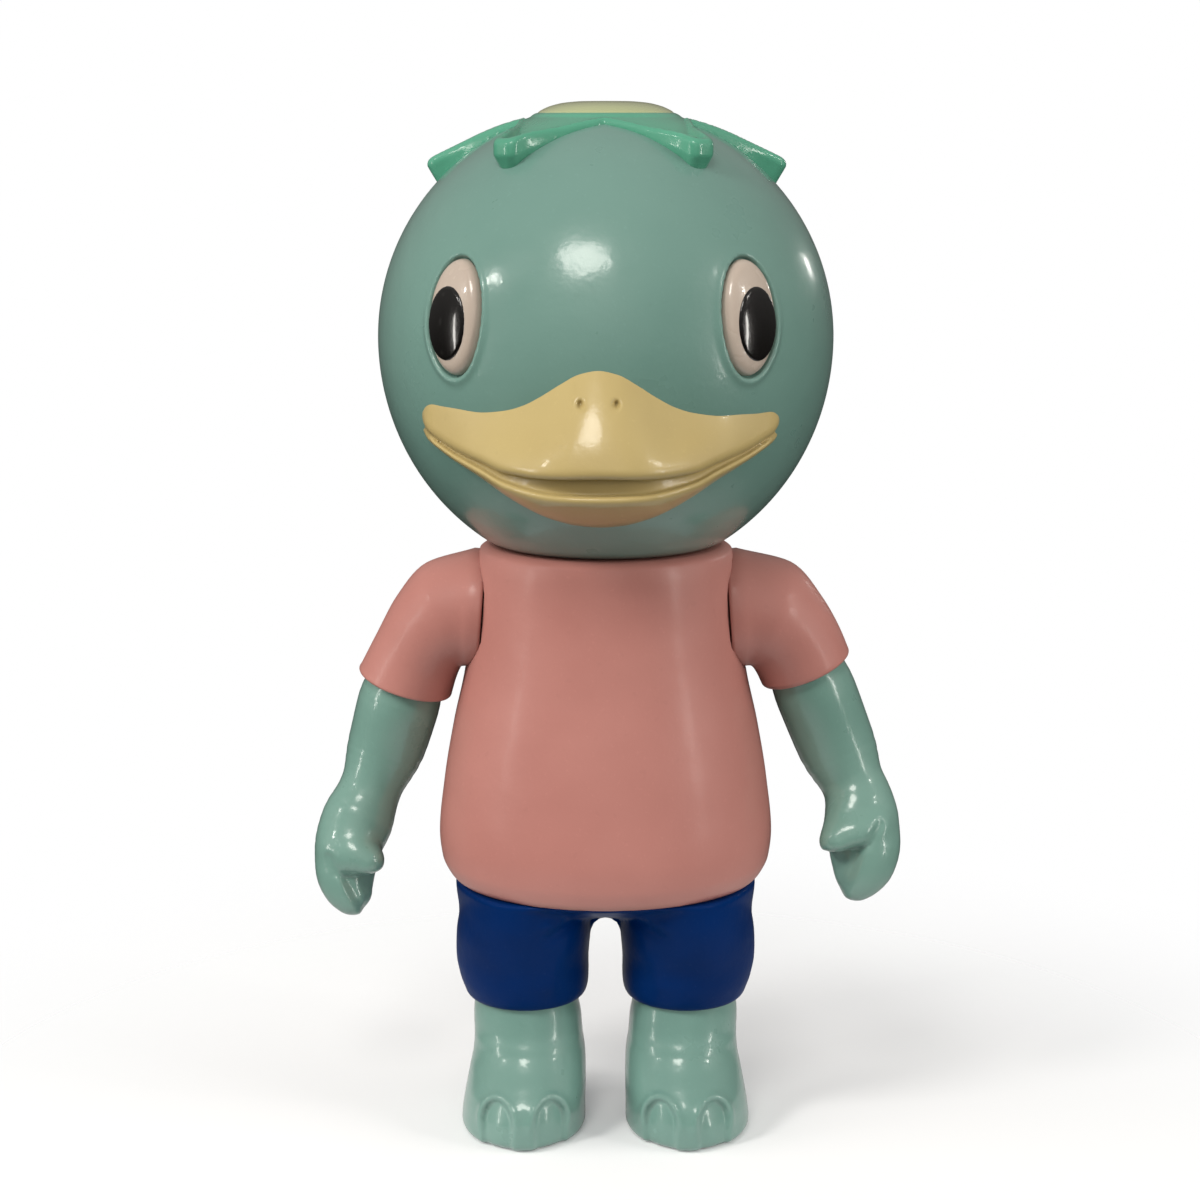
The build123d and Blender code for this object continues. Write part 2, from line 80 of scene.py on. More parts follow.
def blend_min(a, b, radius):
    """Union of two forms with a fillet where they meet."""
    near = np.maximum(radius - np.abs(a - b), 0.0) / radius
    return np.minimum(a, b) - near * near * radius / 4


def blend_max(a, b, radius):
    """Common volume of two forms with a rounded edge where they meet."""
    return -blend_min(-a, -b, radius)


def ramp(value, start, end):
    """Smooth step from 0 at start to 1 at end."""
    t = np.clip((value - start) / (end - start), 0.0, 1.0)
    return t * t * (3 - 2 * t)


def bell(value, middle, width):
    """1 at middle, falling off to 0 on both sides."""
    return np.exp(-((value - middle) / width) ** 2)


def bow(share):
    """0 at both ends of a share from 0 to 1, and 1 halfway."""
    return np.sin(math.pi * np.clip(share, 0, 1))


def through(t, knots):
    """A smooth curve through (position, value) knots that doesn't overshoot them."""
    at = np.array([knot[0] for knot in knots], float)
    value = np.array([knot[1] for knot in knots], float)
    width = np.diff(at)
    rise = np.diff(value) / width
    slope = np.zeros(len(at))
    slope[0], slope[-1] = rise[0], rise[-1]
    for i in range(1, len(at) - 1):
        if rise[i - 1] * rise[i] > 0:
            slope[i] = 2 * rise[i - 1] * rise[i] / (rise[i - 1] + rise[i])
    t = np.clip(t, at[0], at[-1])
    i = np.clip(np.searchsorted(at, t, side="right") - 1, 0, len(width) - 1)
    u = (t - at[i]) / width[i]
    u2, u3 = u * u, u * u * u
    return ((2 * u3 - 3 * u2 + 1) * value[i] + (u3 - 2 * u2 + u) * width[i] * slope[i]
            + (3 * u2 - 2 * u3) * value[i + 1] + (u3 - u2) * width[i] * slope[i + 1])


def both_ways(x, knots):
    """A smooth curve across x = 0 through knots given for one side."""
    return through(x, [(-at, value) for at, value in reversed(knots[1:])] + knots)


def ring_values(z, rings, *columns):
    """Smooth values at a height of some columns of a table of rings, whose first one is height."""
    return [through(z, [(ring[0], ring[column]) for ring in rings]) for column in columns]


def from_axis(x, y):
    """Distance from the body's upright axis."""
    return np.sqrt(x * x + y * y)


def oval(u, v, half_u, half_v):
    """Distance to an ellipse in its own plane."""
    away = np.sqrt(u * u + v * v) + TINY
    share = np.sqrt((u / half_u) ** 2 + (v / half_v) ** 2) + TINY
    return away * (1 - 1 / share)


def limb(x, y, z, points, flat=1.0):
    """A smooth tapering limb through (x, y, z, radius) points, thinner along Y by flat."""
    at = np.linspace(0, len(points) - 1, (len(points) - 1) * LIMB_STEPS + 1)
    px, py, pz, radius = (
        through(at, [(i, point[k]) for i, point in enumerate(points)]) for k in range(4))
    form = None
    for i in range(len(at) - 1):
        run_x, run_y, run_z = px[i + 1] - px[i], py[i + 1] - py[i], pz[i + 1] - pz[i]
        from_x, from_y, from_z = x - px[i], y - py[i], z - pz[i]
        length2 = run_x ** 2 + run_y ** 2 + run_z ** 2
        t = np.clip((from_x * run_x + from_y * run_y + from_z * run_z) / length2, 0.0, 1.0)
        away2 = ((from_x - t * run_x) ** 2 + ((from_y - t * run_y) / flat) ** 2
                 + (from_z - t * run_z) ** 2)
        part = np.sqrt(away2) - radius[i] - t * (radius[i + 1] - radius[i])
        form = part if form is None else np.minimum(form, part)
    return form


def crease(u, v, start, end, width):
    """1 on a line between two points of a plane, falling off to 0 at about its width."""
    run_u, run_v = end[0] - start[0], end[1] - start[1]
    from_u, from_v = u - start[0], v - start[1]
    t = np.clip((from_u * run_u + from_v * run_v) / (run_u ** 2 + run_v ** 2), 0, 1)
    away2 = (from_u - t * run_u) ** 2 + (from_v - t * run_v) ** 2
    return np.exp(-away2 / width ** 2)


def beside(u, v, start, end):
    """Distance from the line through two points of a plane, positive to the right of its course."""
    run_u, run_v = end[0] - start[0], end[1] - start[1]
    return ((u - start[0]) * run_v - (v - start[1]) * run_u) / math.hypot(run_u, run_v)


# ---- meshes from fields ----
# A piece's bands are (start, end, step) rows along X, Y and Z, in which its grid is finer.
BAND_SPREAD = 0.3                        # how fast grid lines move apart outside a band
GRID_MARGIN = 2                          # steps of grid outside the box of a form
FAR_OUTSIDE = 10.0
SETTLE_ROUNDS = 3
SLOPE_REACH = 0.02                       # a field's slope is taken this far to each side
FLATTEST = 0.04                          # least squared slope taken for a point's move
RING_POINTS = 112


def grid_lines(low, high, step, bands):
    """Grid positions from low to high, closer together in and near each (start, end, step) band."""
    lines = [low]
    while lines[-1] < high:
        here, gap = lines[-1], step
        for start, end, fine in bands:
            gap = min(gap, fine + BAND_SPREAD * max(start - here, here - end, 0.0))
        lines.append(here + gap)
    return np.array(lines)


def onto_surface(points, field, reach):
    """Moves points onto the field's zero surface."""
    eps = SLOPE_REACH
    for _ in range(SETTLE_ROUNDS):
        x, y, z = points.T
        value = field(x, y, z)
        slope = np.stack([
            field(x + eps, y, z) - field(x - eps, y, z),
            field(x, y + eps, z) - field(x, y - eps, z),
            field(x, y, z + eps) - field(x, y, z - eps)], axis=1) / (2 * eps)
        steep = np.maximum((slope ** 2).sum(axis=1), FLATTEST)
        move = -slope * (value / steep)[:, None]
        length = np.sqrt((move ** 2).sum(axis=1)) + 1e-9
        points = points + move * np.minimum(1.0, reach / length)[:, None]
    return points


def mesh_piece(name, points, faces, turn=0.0):
    """A smooth-shaded mesh object from millimetre points about the body's axis, turned about it."""
    x, y, z = np.asarray(points, float).T
    cos, sin = math.cos(turn), math.sin(turn)
    rows = np.stack([x * cos - y * sin, x * sin + y * cos + AXIS_Y, z], axis=1)
    mesh = bpy.data.meshes.new(name)
    mesh.from_pydata((rows * MM).tolist(), [], faces)
    mesh.update()
    mesh.polygons.foreach_set("use_smooth", [True] * len(mesh.polygons))
    piece = bpy.data.objects.new(name, mesh)
    bpy.context.scene.collection.objects.link(piece)
    return piece


def main_part(points, quads):
    """The largest connected part of a mesh, without the specks a thin corner leaves beside it."""
    label = np.arange(len(points))
    while True:
        joined = label.copy()
        np.minimum.at(joined, quads.ravel(), np.repeat(label[quads].min(axis=1), 4))
        joined = joined[joined]
        if np.array_equal(joined, label):
            break
        label = joined
    keep = label == np.bincount(label).argmax()
    new_index = np.cumsum(keep) - 1
    return points[keep], new_index[quads[keep[quads[:, 0]]]]


def about_axis(half_x, half_y, low_z, high_z):
    """Low and high corner of a box centred on the body's axis."""
    return (-half_x, -half_y, low_z), (half_x, half_y, high_z)


def cast(name, field, box, step, bands=((), (), ()), turn=0.0):
    """A closed mesh of a field's surface inside a box, finer inside the bands of each axis."""
    low, high = box
    margin = GRID_MARGIN * step
    lines = [grid_lines(low[i] - margin, high[i] + margin, step, bands[i]) for i in range(3)]
    x, y, z = np.meshgrid(*lines, indexing="ij", sparse=True)
    values = np.broadcast_to(field(x, y, z), [len(line) for line in lines])
    grid = openvdb.FloatGrid(FAR_OUTSIDE)
    grid.copyFromArray(np.ascontiguousarray(values, dtype=np.float32))
    points, quads = main_part(*grid.convertToQuads(isovalue=0.0))
    points = np.stack(
        [np.interp(points[:, i], np.arange(len(lines[i])), lines[i]) for i in range(3)], axis=1)
    points = onto_surface(points, field, step / 2)
    a, b, c, d = (points[quads[:, i]] for i in range(4))
    volume = (np.cross(c - a, d - b) * (a + b + c + d)).sum()
    if volume < 0:
        quads = quads[:, ::-1]
    return mesh_piece(name, points, quads.tolist(), turn)


def around(sections):
    """A closed tube through (centre, half-axis, half-axis) sections, capped at its ends."""
    count = RING_POINTS
    turn = np.linspace(0, 2 * math.pi, count, endpoint=False)
    points = [sections[0][0]]
    for centre, half_a, half_b in sections:
        points += [centre + half_a * math.cos(t) + half_b * math.sin(t) for t in turn]
    points.append(sections[-1][0])
    faces = [[0, 1 + (i + 1) % count, 1 + i] for i in range(count)]
    for row in range(len(sections) - 1):
        first = 1 + row * count
        for i in range(count):
            j = (i + 1) % count
            faces.append([first + i, first + j, first + count + j, first + count + i])
    last = 1 + (len(sections) - 1) * count
    faces += [[last + i, last + (i + 1) % count, len(points) - 1] for i in range(count)]
    return points, faces


# ---- head ----
HEAD_DROP = 54.0                         # semi-axis of the lower half
HEAD_TURN = math.radians(-1.3)           # the head sits turned a touch to its right
HEAD_BASE_R = 1.6                        # rounding of its lower edge
NECK_HOLE_R, NECK_HOLE_DEPTH = 15.2, 9.0
HEAD_BANDS = (
    ((-38.5, -23.5, 0.5), (23.5, 38.5, 0.5)),
    ((-46.0, -32.0, 0.6),),
    ((181.0, 209.0, 0.6), (139.0, 142.5, 0.5)),
)
EYE_AZIMUTH = math.radians(38.2)
EYE_UP = 8.0                             # from the head's middle height
EYE_RISE = math.asin(EYE_UP / HEAD_R)
EYE_HALF_W, EYE_HALF_H = 6.95, 12.4
EYE_LEAN = math.radians(3.6)             # the ovals stand upright against the curve of the head
EYE_GAP = 0.35                           # from the white to the edge of its socket
EYE_PROUD, EYE_DOME, EYE_SEAT = 0.8, 0.8, 1.5
EYE_EDGE_R, EYE_BACK_R = 2.2, 0.4
EYE_BACK_GAP = 0.05
EYE_FRONT = 20                           # everything of an eye is this far in front of the centre
EYE_LIP_H, EYE_LIP_OUT, EYE_LIP_W = 0.5, 1.35, 0.75
EYE_BOX_X, EYE_BOX_HALF_W = 31, 9
EYE_BOX_Y, EYE_BOX_Z = (-46.5, -31), (181, 209)
PUPIL_HALF_W, PUPIL_HALF_H = 5.3, 7.85
PUPIL_OUT, PUPIL_DOWN = 0.9, 1.6
PUPIL_PROUD, PUPIL_SINK, PUPIL_EDGE_R = 0.3, 0.5, 0.5


def off_head(x, y, z):
    """Height above the head's outside."""
    rise = z - HEAD_Z
    rise = np.where(rise < 0, rise * HEAD_R / HEAD_DROP, rise)
    return np.sqrt(x * x + y * y + rise * rise) - HEAD_R


def eye_plane(side, x, y, z):
    """Outward, up and facing coordinates of a point about one eye, from the head's centre."""
    turn = side * EYE_AZIMUTH
    out = side * (x * math.cos(turn) + y * math.sin(turn))
    ahead = x * math.sin(turn) - y * math.cos(turn)
    rise = z - HEAD_Z
    up = rise * math.cos(EYE_RISE) - ahead * math.sin(EYE_RISE)
    facing = rise * math.sin(EYE_RISE) + ahead * math.cos(EYE_RISE)
    lean_out = out * math.cos(EYE_LEAN) - up * math.sin(EYE_LEAN)
    lean_up = up * math.cos(EYE_LEAN) + out * math.sin(EYE_LEAN)
    return lean_out, lean_up, facing


def head_field(x, y, z):
    form = off_head(x, y, z)
    for side in SIDES.values():
        out, up, facing = eye_plane(side, x, y, z)
        edge = oval(out, up, EYE_HALF_W, EYE_HALF_H)
        front = ramp(facing, EYE_FRONT, EYE_FRONT + 10)
        socket = EYE_SEAT * (1 - ramp(edge, EYE_GAP - 0.25, EYE_GAP + 0.3))
        # the lip around the socket is fullest below the eye
        lower = ramp(-up, -6.0, 7.0)
        lip = EYE_LIP_H * bell(edge, EYE_LIP_OUT, EYE_LIP_W) * (0.25 + 0.75 * lower)
        form = form + front * (socket - lip)
    form = blend_max(form, HEAD_BASE_Z - z, HEAD_BASE_R)
    neck_hole = np.maximum(from_axis(x, y) - NECK_HOLE_R, z - HEAD_BASE_Z - NECK_HOLE_DEPTH)
    return np.maximum(form, -neck_hole)


def make_head():
    half = HEAD_R + 1
    box = about_axis(half, half, HEAD_BASE_Z, HEAD_Z + half)
    return cast("head_casting", head_field, box, step=1.25, bands=HEAD_BANDS, turn=HEAD_TURN)


def eye_top(out, up):
    """Height of an eye white's dome above the head."""
    inside = (out / EYE_HALF_W) ** 2 + (up / EYE_HALF_H) ** 2
    return EYE_PROUD + EYE_DOME * (1 - inside)


def make_eye(name, side):
    def white(x, y, z):
        out, up, facing = eye_plane(side, x, y, z)
        height = off_head(x, y, z)
        edge = oval(out, up, EYE_HALF_W, EYE_HALF_H)
        form = blend_max(height - eye_top(out, up), edge, EYE_EDGE_R)
        form = blend_max(form, -height - EYE_SEAT + EYE_BACK_GAP, EYE_BACK_R)
        return np.maximum(form, EYE_FRONT - facing)

    def pupil(x, y, z):
        out, up, facing = eye_plane(side, x, y, z)
        height = off_head(x, y, z) - eye_top(out, up)
        edge = oval(out - PUPIL_OUT, up + PUPIL_DOWN, PUPIL_HALF_W, PUPIL_HALF_H)
        form = blend_max(height - PUPIL_PROUD, edge, PUPIL_EDGE_R)
        form = np.maximum(form, -height - PUPIL_SINK)
        return np.maximum(form, EYE_FRONT - facing)

    box = ((side * EYE_BOX_X - EYE_BOX_HALF_W, EYE_BOX_Y[0], EYE_BOX_Z[0]),
           (side * EYE_BOX_X + EYE_BOX_HALF_W, EYE_BOX_Y[1], EYE_BOX_Z[1]))
    return (cast(f"{name}_eye_white", white, box, step=0.45, turn=HEAD_TURN),
            cast(f"{name}_pupil_gloss", pupil, box, step=0.36, turn=HEAD_TURN))


# ---- dish and leaves ----
DISH_R = (dish_high[0] - dish_low[0]) / 2
DISH_TOP_Z, DISH_BASE_Z = dish_high[2], 232.5
# distance from the axis, drop below the dish's top
DISH_DROP = [(0, 0.3), (5, 0.35), (9, 0.65), (12, 1.3), (14.4, 2.3), (16, 3.5), (17, 4.6)]
DISH_GAP, DISH_EDGE_R = 0.3, 1.4
# azimuth from the front, reach of the tip, how far the tip turns up
LEAVES = [(-37.5, 35.8, 2.2), (37.5, 35.8, 2.2),
          (-103.0, 41.6, 0.4), (103.0, 41.6, 0.4),
          (180.0, 38.5, 1.0)]
LEAF_ROOT, LEAF_ROOT_HALF_W, LEAF_TIP_HALF_W = 16.8, 11.2, 2.3
# distance from the axis, height
LEAF_TOP = [(14.0, 237.4), (17.0, 236.7), (22.0, 235.1), (28.0, 232.8),
            (34.0, 230.0), (39.0, 227.6), (44.0, 225.2)]
LEAF_TURN_UP = 14                        # length of the tip that turns up
LEAF_DIP = 2.2                           # depth of the recess in a leaf
LEAF_RIM, LEAF_DIP_START = (1.0, 2.7), (15.5, 20.0)    # where it slopes down: rim, then root
LEAF_FLOOR = 0.5                         # thickness of a leaf at the bottom of its recess
LEAF_BOW, LEAF_FLARE = 0.9, 0.5          # the sides bow in halfway and open again at the tip
LEAF_TIP_SLANT = 0.42                    # the blunt tips lean in towards the head on their way down
LEAF_TAPER = 0.3                         # and get narrower
LEAF_TIP_R, LEAF_EDGE_R = 1.8, 1.2
LEAF_SINK = 0.6                          # how far a leaf is let into the head
LEAF_UNDER_DISH = 2.5                    # how far the roots reach in under the dish


def crown_field(x, y, z):
    radius = from_axis(x, y)
    below_top = np.maximum(through(radius, LEAF_TOP) - z, 0.0)
    outline, lift = None, 0.0
    for azimuth, reach, turn_up in LEAVES:
        turn = math.radians(azimuth)
        along = x * math.sin(turn) - y * math.cos(turn)
        across = np.abs(x * math.cos(turn) + y * math.sin(turn))
        share = (along - LEAF_ROOT) / (reach - LEAF_ROOT)
        half_w = LEAF_ROOT_HALF_W + (LEAF_TIP_HALF_W - LEAF_ROOT_HALF_W) * share
        half_w = half_w - LEAF_BOW * bow(share) + LEAF_FLARE * ramp(share, 0.75, 1.0)
        taper = LEAF_TAPER * np.maximum(below_top - 1.5, 0.0) * ramp(share, 0.3, 0.9)
        half_w = half_w - taper
        tip = (along - reach + LEAF_TIP_SLANT * np.maximum(below_top - 1.0, 0.0)) * 0.92
        leaf = blend_max((across - half_w) * 0.89, tip, LEAF_TIP_R)
        leaf = np.maximum(leaf, -along)
        outline = leaf if outline is None else np.minimum(outline, leaf)
        at_tip = ramp(along, reach - LEAF_TURN_UP, reach)
        lift = lift + turn_up * at_tip * ramp(-across, -10, -5)
    inward = -outline
    top = through(radius, LEAF_TOP) + lift
    dip = LEAF_DIP * ramp(inward, *LEAF_RIM) * ramp(radius, *LEAF_DIP_START)
    height = off_head(x, y, z)
    form = np.minimum((z - top + dip) * 0.93, height - LEAF_FLOOR)
    form = blend_max(form, outline, LEAF_EDGE_R)
    form = np.maximum(form, -height - LEAF_SINK)
    return np.maximum(form, DISH_R - LEAF_UNDER_DISH - radius)


def make_crown():
    box = about_axis(43, 43, 214, 238)
    return cast("leaf_crown_casting", crown_field, box, step=0.55, turn=HEAD_TURN)


def dish_field(x, y, z):
    radius = from_axis(x, y)
    top = DISH_TOP_Z - through(radius, DISH_DROP)
    form = blend_max((z - top) * 0.95, radius - DISH_R + DISH_GAP, DISH_EDGE_R)
    return np.maximum(form, DISH_BASE_Z - z)


def make_dish():
    box = about_axis(17.5, 17.5, 232, 240.5)
    return cast("dish_casting", dish_field, box, step=0.5)


# ---- beak ----
# distance from the beak's middle, then y or height
BEAK_FRONT_Y = [(0, -62.0), (5, -61.7), (9, -60.8), (18, -55.5), (27, -46.5), (33, -39.9),
                (38.8, -34.2), (43, -30.5)]
BEAK_CREST_Z = [(0, 184.6), (4, 183.8), (8, 181.6), (12, 179.0), (16, 176.8), (20, 175.5),
                (26, 174.7), (33, 175.2), (37, 175.5), (39.6, 175.0), (42, 174.2)]
BEAK_MOUTH_Z = [(0, 163.1), (12, 162.8), (20, 163.3), (25, 164.7), (31, 166.4), (37.7, 169.5),
                (42, 170.8)]
BEAK_UNDER_Z = [(0, 149.6), (5, 150.1), (10.2, 151.9), (23.4, 158.9), (33.6, 164.9),
                (38.1, 168.4), (42, 171.0)]
BEAK_HALF_W = 39.0
BEAK_SHIFT = -0.4                        # the beak's middle is a little to the head's right
BEAK_SINK = 1.0                          # how far its back is let into the head
BEAK_LEAST_DEPTH = 1.2
LIP_H, LOWER_LIP_H = 2.6, 1.2            # the bills' front edges
LIP_R, LIP_UNDER_R = 3.0, 2.4            # roundings of the upper one
LOWER_LIP_R, LOWER_LIP_TOP_R = 2.2, 1.6
BEAK_SIDE_R, MOUTH_R = 3.5, 0.5
BEAK_RIDGE, BEAK_HOLLOW = 1.2, 2.1       # fullness at the middle, and what the sides lose of it
CHIN_FULL = 1.9
# distance from the beak's middle, height of the open mouth
MOUTH_GAP = [(0, 3.9), (8, 3.5), (16, 2.6), (24, 1.5), (32, 0.7), (40, 0.4)]
MOUTH_OVERLAP, MOUTH_DEPTH = 1.5, 2.8    # the mouth's wall reaches into both bills
# distance from the beak's middle, how far the lower lip is set back
LIP_BACK = [(0, 3.0), (16, 2.6), (30, 1.2), (40, 0.3)]
NOSTRIL_X, NOSTRIL_Z = 3.7, 178.0
NOSTRIL_R, NOSTRIL_DEPTH = 0.62, 1.3
BEAK_BANDS = (
    ((-5.5, 4.5, 0.28),),
    (),
    ((156.0, 168.0, 0.4), (176.5, 179.5, 0.28)),
)


def head_front_y(x, z):
    """Y of the head's front at an x and height."""
    rise = (z - HEAD_Z) * HEAD_R / HEAD_DROP
    return -np.sqrt(np.maximum(HEAD_R ** 2 - x * x - rise * rise, 1.0))


def beak_field(x, y, z):
    x = x - BEAK_SHIFT
    side_x = np.abs(x)
    front = both_ways(x, BEAK_FRONT_Y)
    flare = 0.95 - 0.17 * ramp(side_x, 4, 12)
    mouth = both_ways(x, BEAK_MOUTH_Z)
    crest = both_ways(x, BEAK_CREST_Z)
    under = both_ways(x, BEAK_UNDER_Z)
    gap = both_ways(x, MOUTH_GAP)
    back = both_ways(x, LIP_BACK)
    # upper bill: a slope from the crest on the head down to a rolled front lip
    nose = mouth + LIP_H
    depth = np.maximum(head_front_y(x, crest) - front, BEAK_LEAST_DEPTH)
    share = (y - front) / depth
    hollow = bow(share) * (BEAK_HOLLOW * ramp(side_x, 2, 16) - BEAK_RIDGE)
    steep = (crest - nose) / depth
    top = nose + (crest - nose) * share - hollow
    upper = (z - top) / np.sqrt(1 + steep ** 2)
    upper = blend_max(upper, (front - y) * flare, LIP_R)
    upper = blend_max(upper, (mouth - z) * 0.95, LIP_UNDER_R)
    # lower bill: set back under the upper one, with a rounded lip and a full chin
    lip_front = front + back
    lip_top = mouth - gap
    lip = lip_top - LOWER_LIP_H
    depth = np.maximum(head_front_y(x, under) - lip_front, BEAK_LEAST_DEPTH)
    share = (y - lip_front) / depth
    steep = (under - lip) / depth
    chin = CHIN_FULL * bow(share) * (1 - ramp(side_x, 10, 30))
    bottom = lip + (under - lip) * share - chin
    lower = (bottom - z) / np.sqrt(1 + steep ** 2)
    lower = blend_max(lower, (lip_front - y) * flare, LOWER_LIP_R)
    lower = blend_max(lower, z - lip_top, LOWER_LIP_TOP_R)
    # the recessed mouth between them
    inside = np.maximum(z - mouth - MOUTH_OVERLAP, lip_top - MOUTH_OVERLAP - z)
    inside = np.maximum(inside, (front + back + MOUTH_DEPTH - y) * flare)
    form = np.minimum(blend_min(upper, inside, MOUTH_R), blend_min(lower, inside, MOUTH_R))
    form = blend_max(form, side_x - BEAK_HALF_W, BEAK_SIDE_R)
    for side in SIDES.values():
        away2 = (x - side * NOSTRIL_X) ** 2 + ((z - NOSTRIL_Z) * 0.8) ** 2
        hole = NOSTRIL_DEPTH * np.exp(-away2 / NOSTRIL_R ** 2)
        form = form + hole * ramp(-y, 49, 51)
    return np.maximum(form, -off_head(x, y, z) - BEAK_SINK)


def make_beak():
    box = ((-40, -63, 146), (40, -28, 187))
    return cast("beak_casting", beak_field, box, step=0.6, bands=BEAK_BANDS, turn=HEAD_TURN)


# ---- shirt ----
# height, half width, half depth
TORSO_RINGS = [(60.5, 35.0, 29.5), (62.5, 36.8, 31.0), (66.0, 38.4, 32.4), (71.5, 39.0, 33.0),
               (84.5, 37.7, 32.2), (98.0, 35.4, 31.0), (111.0, 32.6, 29.8), (125.0, 31.0, 29.3),
               (135.0, 30.2, 29.2), (138.5, 29.2, 28.8), (140.0, 27.6, 27.5)]
TORSO_BANDS = (
    ((-31.0, -26.5, 0.5), (26.5, 31.0, 0.5)),
    (),
    ((60.0, 63.0, 0.45), (136.5, 140.5, 0.45)),
)
TORSO_TOP_R, TORSO_HEM_R = 1.2, 1.0
SHOULDER_X, SHOULDER_Z = 30.95, 124.8
SHOULDER_R = 13.7
SHOULDER_TILT = math.radians(4.4)
SHOULDER_SINK = 3.0                      # depth of the shirt's seat for a sleeve's round root
SHOULDER_GAP = 0.12                      # around the root in its seat
SEAT_FLOOR_R, SEAT_EDGE_R = 0.5, 0.3


def shoulder_axes(side, x, y, z):
    """Distance out along the shoulder's axis from its seam, and distance from that axis."""
    from_x, from_z = side * x - SHOULDER_X, z - SHOULDER_Z
    out = from_x * math.cos(SHOULDER_TILT) + from_z * math.sin(SHOULDER_TILT)
    up = from_z * math.cos(SHOULDER_TILT) - from_x * math.sin(SHOULDER_TILT)
    return out, np.sqrt(y * y + up * up)


def torso_field(x, y, z):
    half_w, half_d = ring_values(z, TORSO_RINGS, 1, 2)
    form = oval(x, y, half_w, half_d)
    form = blend_max(form, z - torso_high[2], TORSO_TOP_R)
    form = blend_max(form, torso_low[2] - z, TORSO_HEM_R)
    for side in SIDES.values():
        out, away = shoulder_axes(side, x, y, z)
        wall = away - SHOULDER_R - SHOULDER_GAP
        seat = blend_max(-out - SHOULDER_SINK, wall, SEAT_FLOOR_R)
        form = blend_max(form, -seat, SEAT_EDGE_R)
    return form


def make_torso():
    box = about_axis(39.5, 33.5, torso_low[2], torso_high[2])
    return cast("shirt_casting", torso_field, box, step=0.95, bands=TORSO_BANDS)


# ---- sleeves ----
# Sleeve outline seen from the front: (inner x, z), (outer x, z) of each ring down to the cuff.
SLEEVE_RINGS = {
    "left": [((32.3, 111.1), (30.2, 138.5)), ((33.3, 111.2), (43.0, 135.2)),
             ((34.0, 110.8), (50.0, 127.4)), ((35.1, 109.2), (54.4, 119.8)),
             ((36.7, 105.8), (56.8, 114.2))],
    "right": [((32.3, 111.1), (30.2, 138.5)), ((33.3, 111.0), (41.6, 135.0)),
              ((34.0, 109.9), (48.2, 127.6)), ((34.9, 107.6), (53.2, 118.4)),
              ((36.2, 103.1), (57.6, 109.9))],
}
SLEEVE_STEPS = 7                         # sections from one ring to the next
SLEEVE_BEND = 3                          # rings over which the sleeve turns to the arm's tilt
# distance out from the shoulder seam, radius
SLEEVE_ROOT = [(-2.7, 12.9), (-2.62, 13.35), (-2.35, 13.62), (-1.9, SHOULDER_R),
               (-1.0, SHOULDER_R)]
ARM_BACK_TILT = math.radians(6.0)
FOREARM_R = 9.0
CUFF_LIP = 0.6
CUFF_DEPTH = 4.0
CUFF_HOLE_R = FOREARM_R + SEAM_GAP
# lift above the cuff's edge, radius of the recess
CUFF_HOLE = [(0.0, CUFF_HOLE_R + 0.35), (0.1, CUFF_HOLE_R + 0.1), (0.35, CUFF_HOLE_R),
             (CUFF_DEPTH - 0.3, CUFF_HOLE_R), (CUFF_DEPTH, CUFF_HOLE_R - 0.3)]


def sleeve_section(side, inner, outer, swing):
    """Centre and the two half-axes of one sleeve ring."""
    middle = (inner + outer) / 2
    across = (outer - inner) / 2
    back = math.sin(ARM_BACK_TILT) * swing
    radius = math.hypot(*across)
    centre = np.array((side * middle[0], (SHOULDER_Z - middle[1]) * back, middle[1]))
    half_a = np.array((side * across[0], 0.0, across[1]))
    down = np.array((half_a[2], 0.0, -half_a[0])) * side
    half_b = np.array((0.0, radius, 0.0)) - down * back
    return centre, half_a, half_b


def make_sleeve(name, side):
    rings = SLEEVE_RINGS[name]
    out = np.array((side * math.cos(SHOULDER_TILT), 0.0, math.sin(SHOULDER_TILT)))
    up = np.array((-side * math.sin(SHOULDER_TILT), 0.0, math.cos(SHOULDER_TILT)))
    seam = np.array((side * SHOULDER_X, 0.0, SHOULDER_Z))
    sections = [(seam + out * along, up * radius, np.array((0.0, radius, 0.0)))
                for along, radius in SLEEVE_ROOT]
    last = len(rings) - 1
    for k in range(last * SLEEVE_STEPS + 1):
        t = min(k / SLEEVE_STEPS, last - 0.001)
        inner, outer = (
            np.array([through(t, [(i, ring[edge][axis]) for i, ring in enumerate(rings)])
                      for axis in (0, 1)])
            for edge in (0, 1))
        sections.append(sleeve_section(side, inner, outer, min(1.0, t / SLEEVE_BEND)))
    # rolled lip of the cuff, then the recess that the forearm turns in
    centre, half_a, half_b = sections.pop()
    rim_r = np.linalg.norm(half_a)
    down = np.cross(half_a, half_b)
    down = down / np.linalg.norm(down)
    if down[2] > 0:
        down = -down
    unit_a, unit_b = half_a / rim_r, half_b / np.linalg.norm(half_b)
    profile = [(CUFF_LIP * (1 - math.sin(t)), rim_r - CUFF_LIP * (1 - math.cos(t)))
               for t in np.linspace(0, math.pi / 2, 5)]
    for lift, radius in profile + CUFF_HOLE:
        sections.append((centre - down * lift, unit_a * radius, unit_b * radius))
    points, faces = around(sections)
    if side > 0:
        faces = [face[::-1] for face in faces]
    return mesh_piece(f"{name}_sleeve_casting", points, faces)


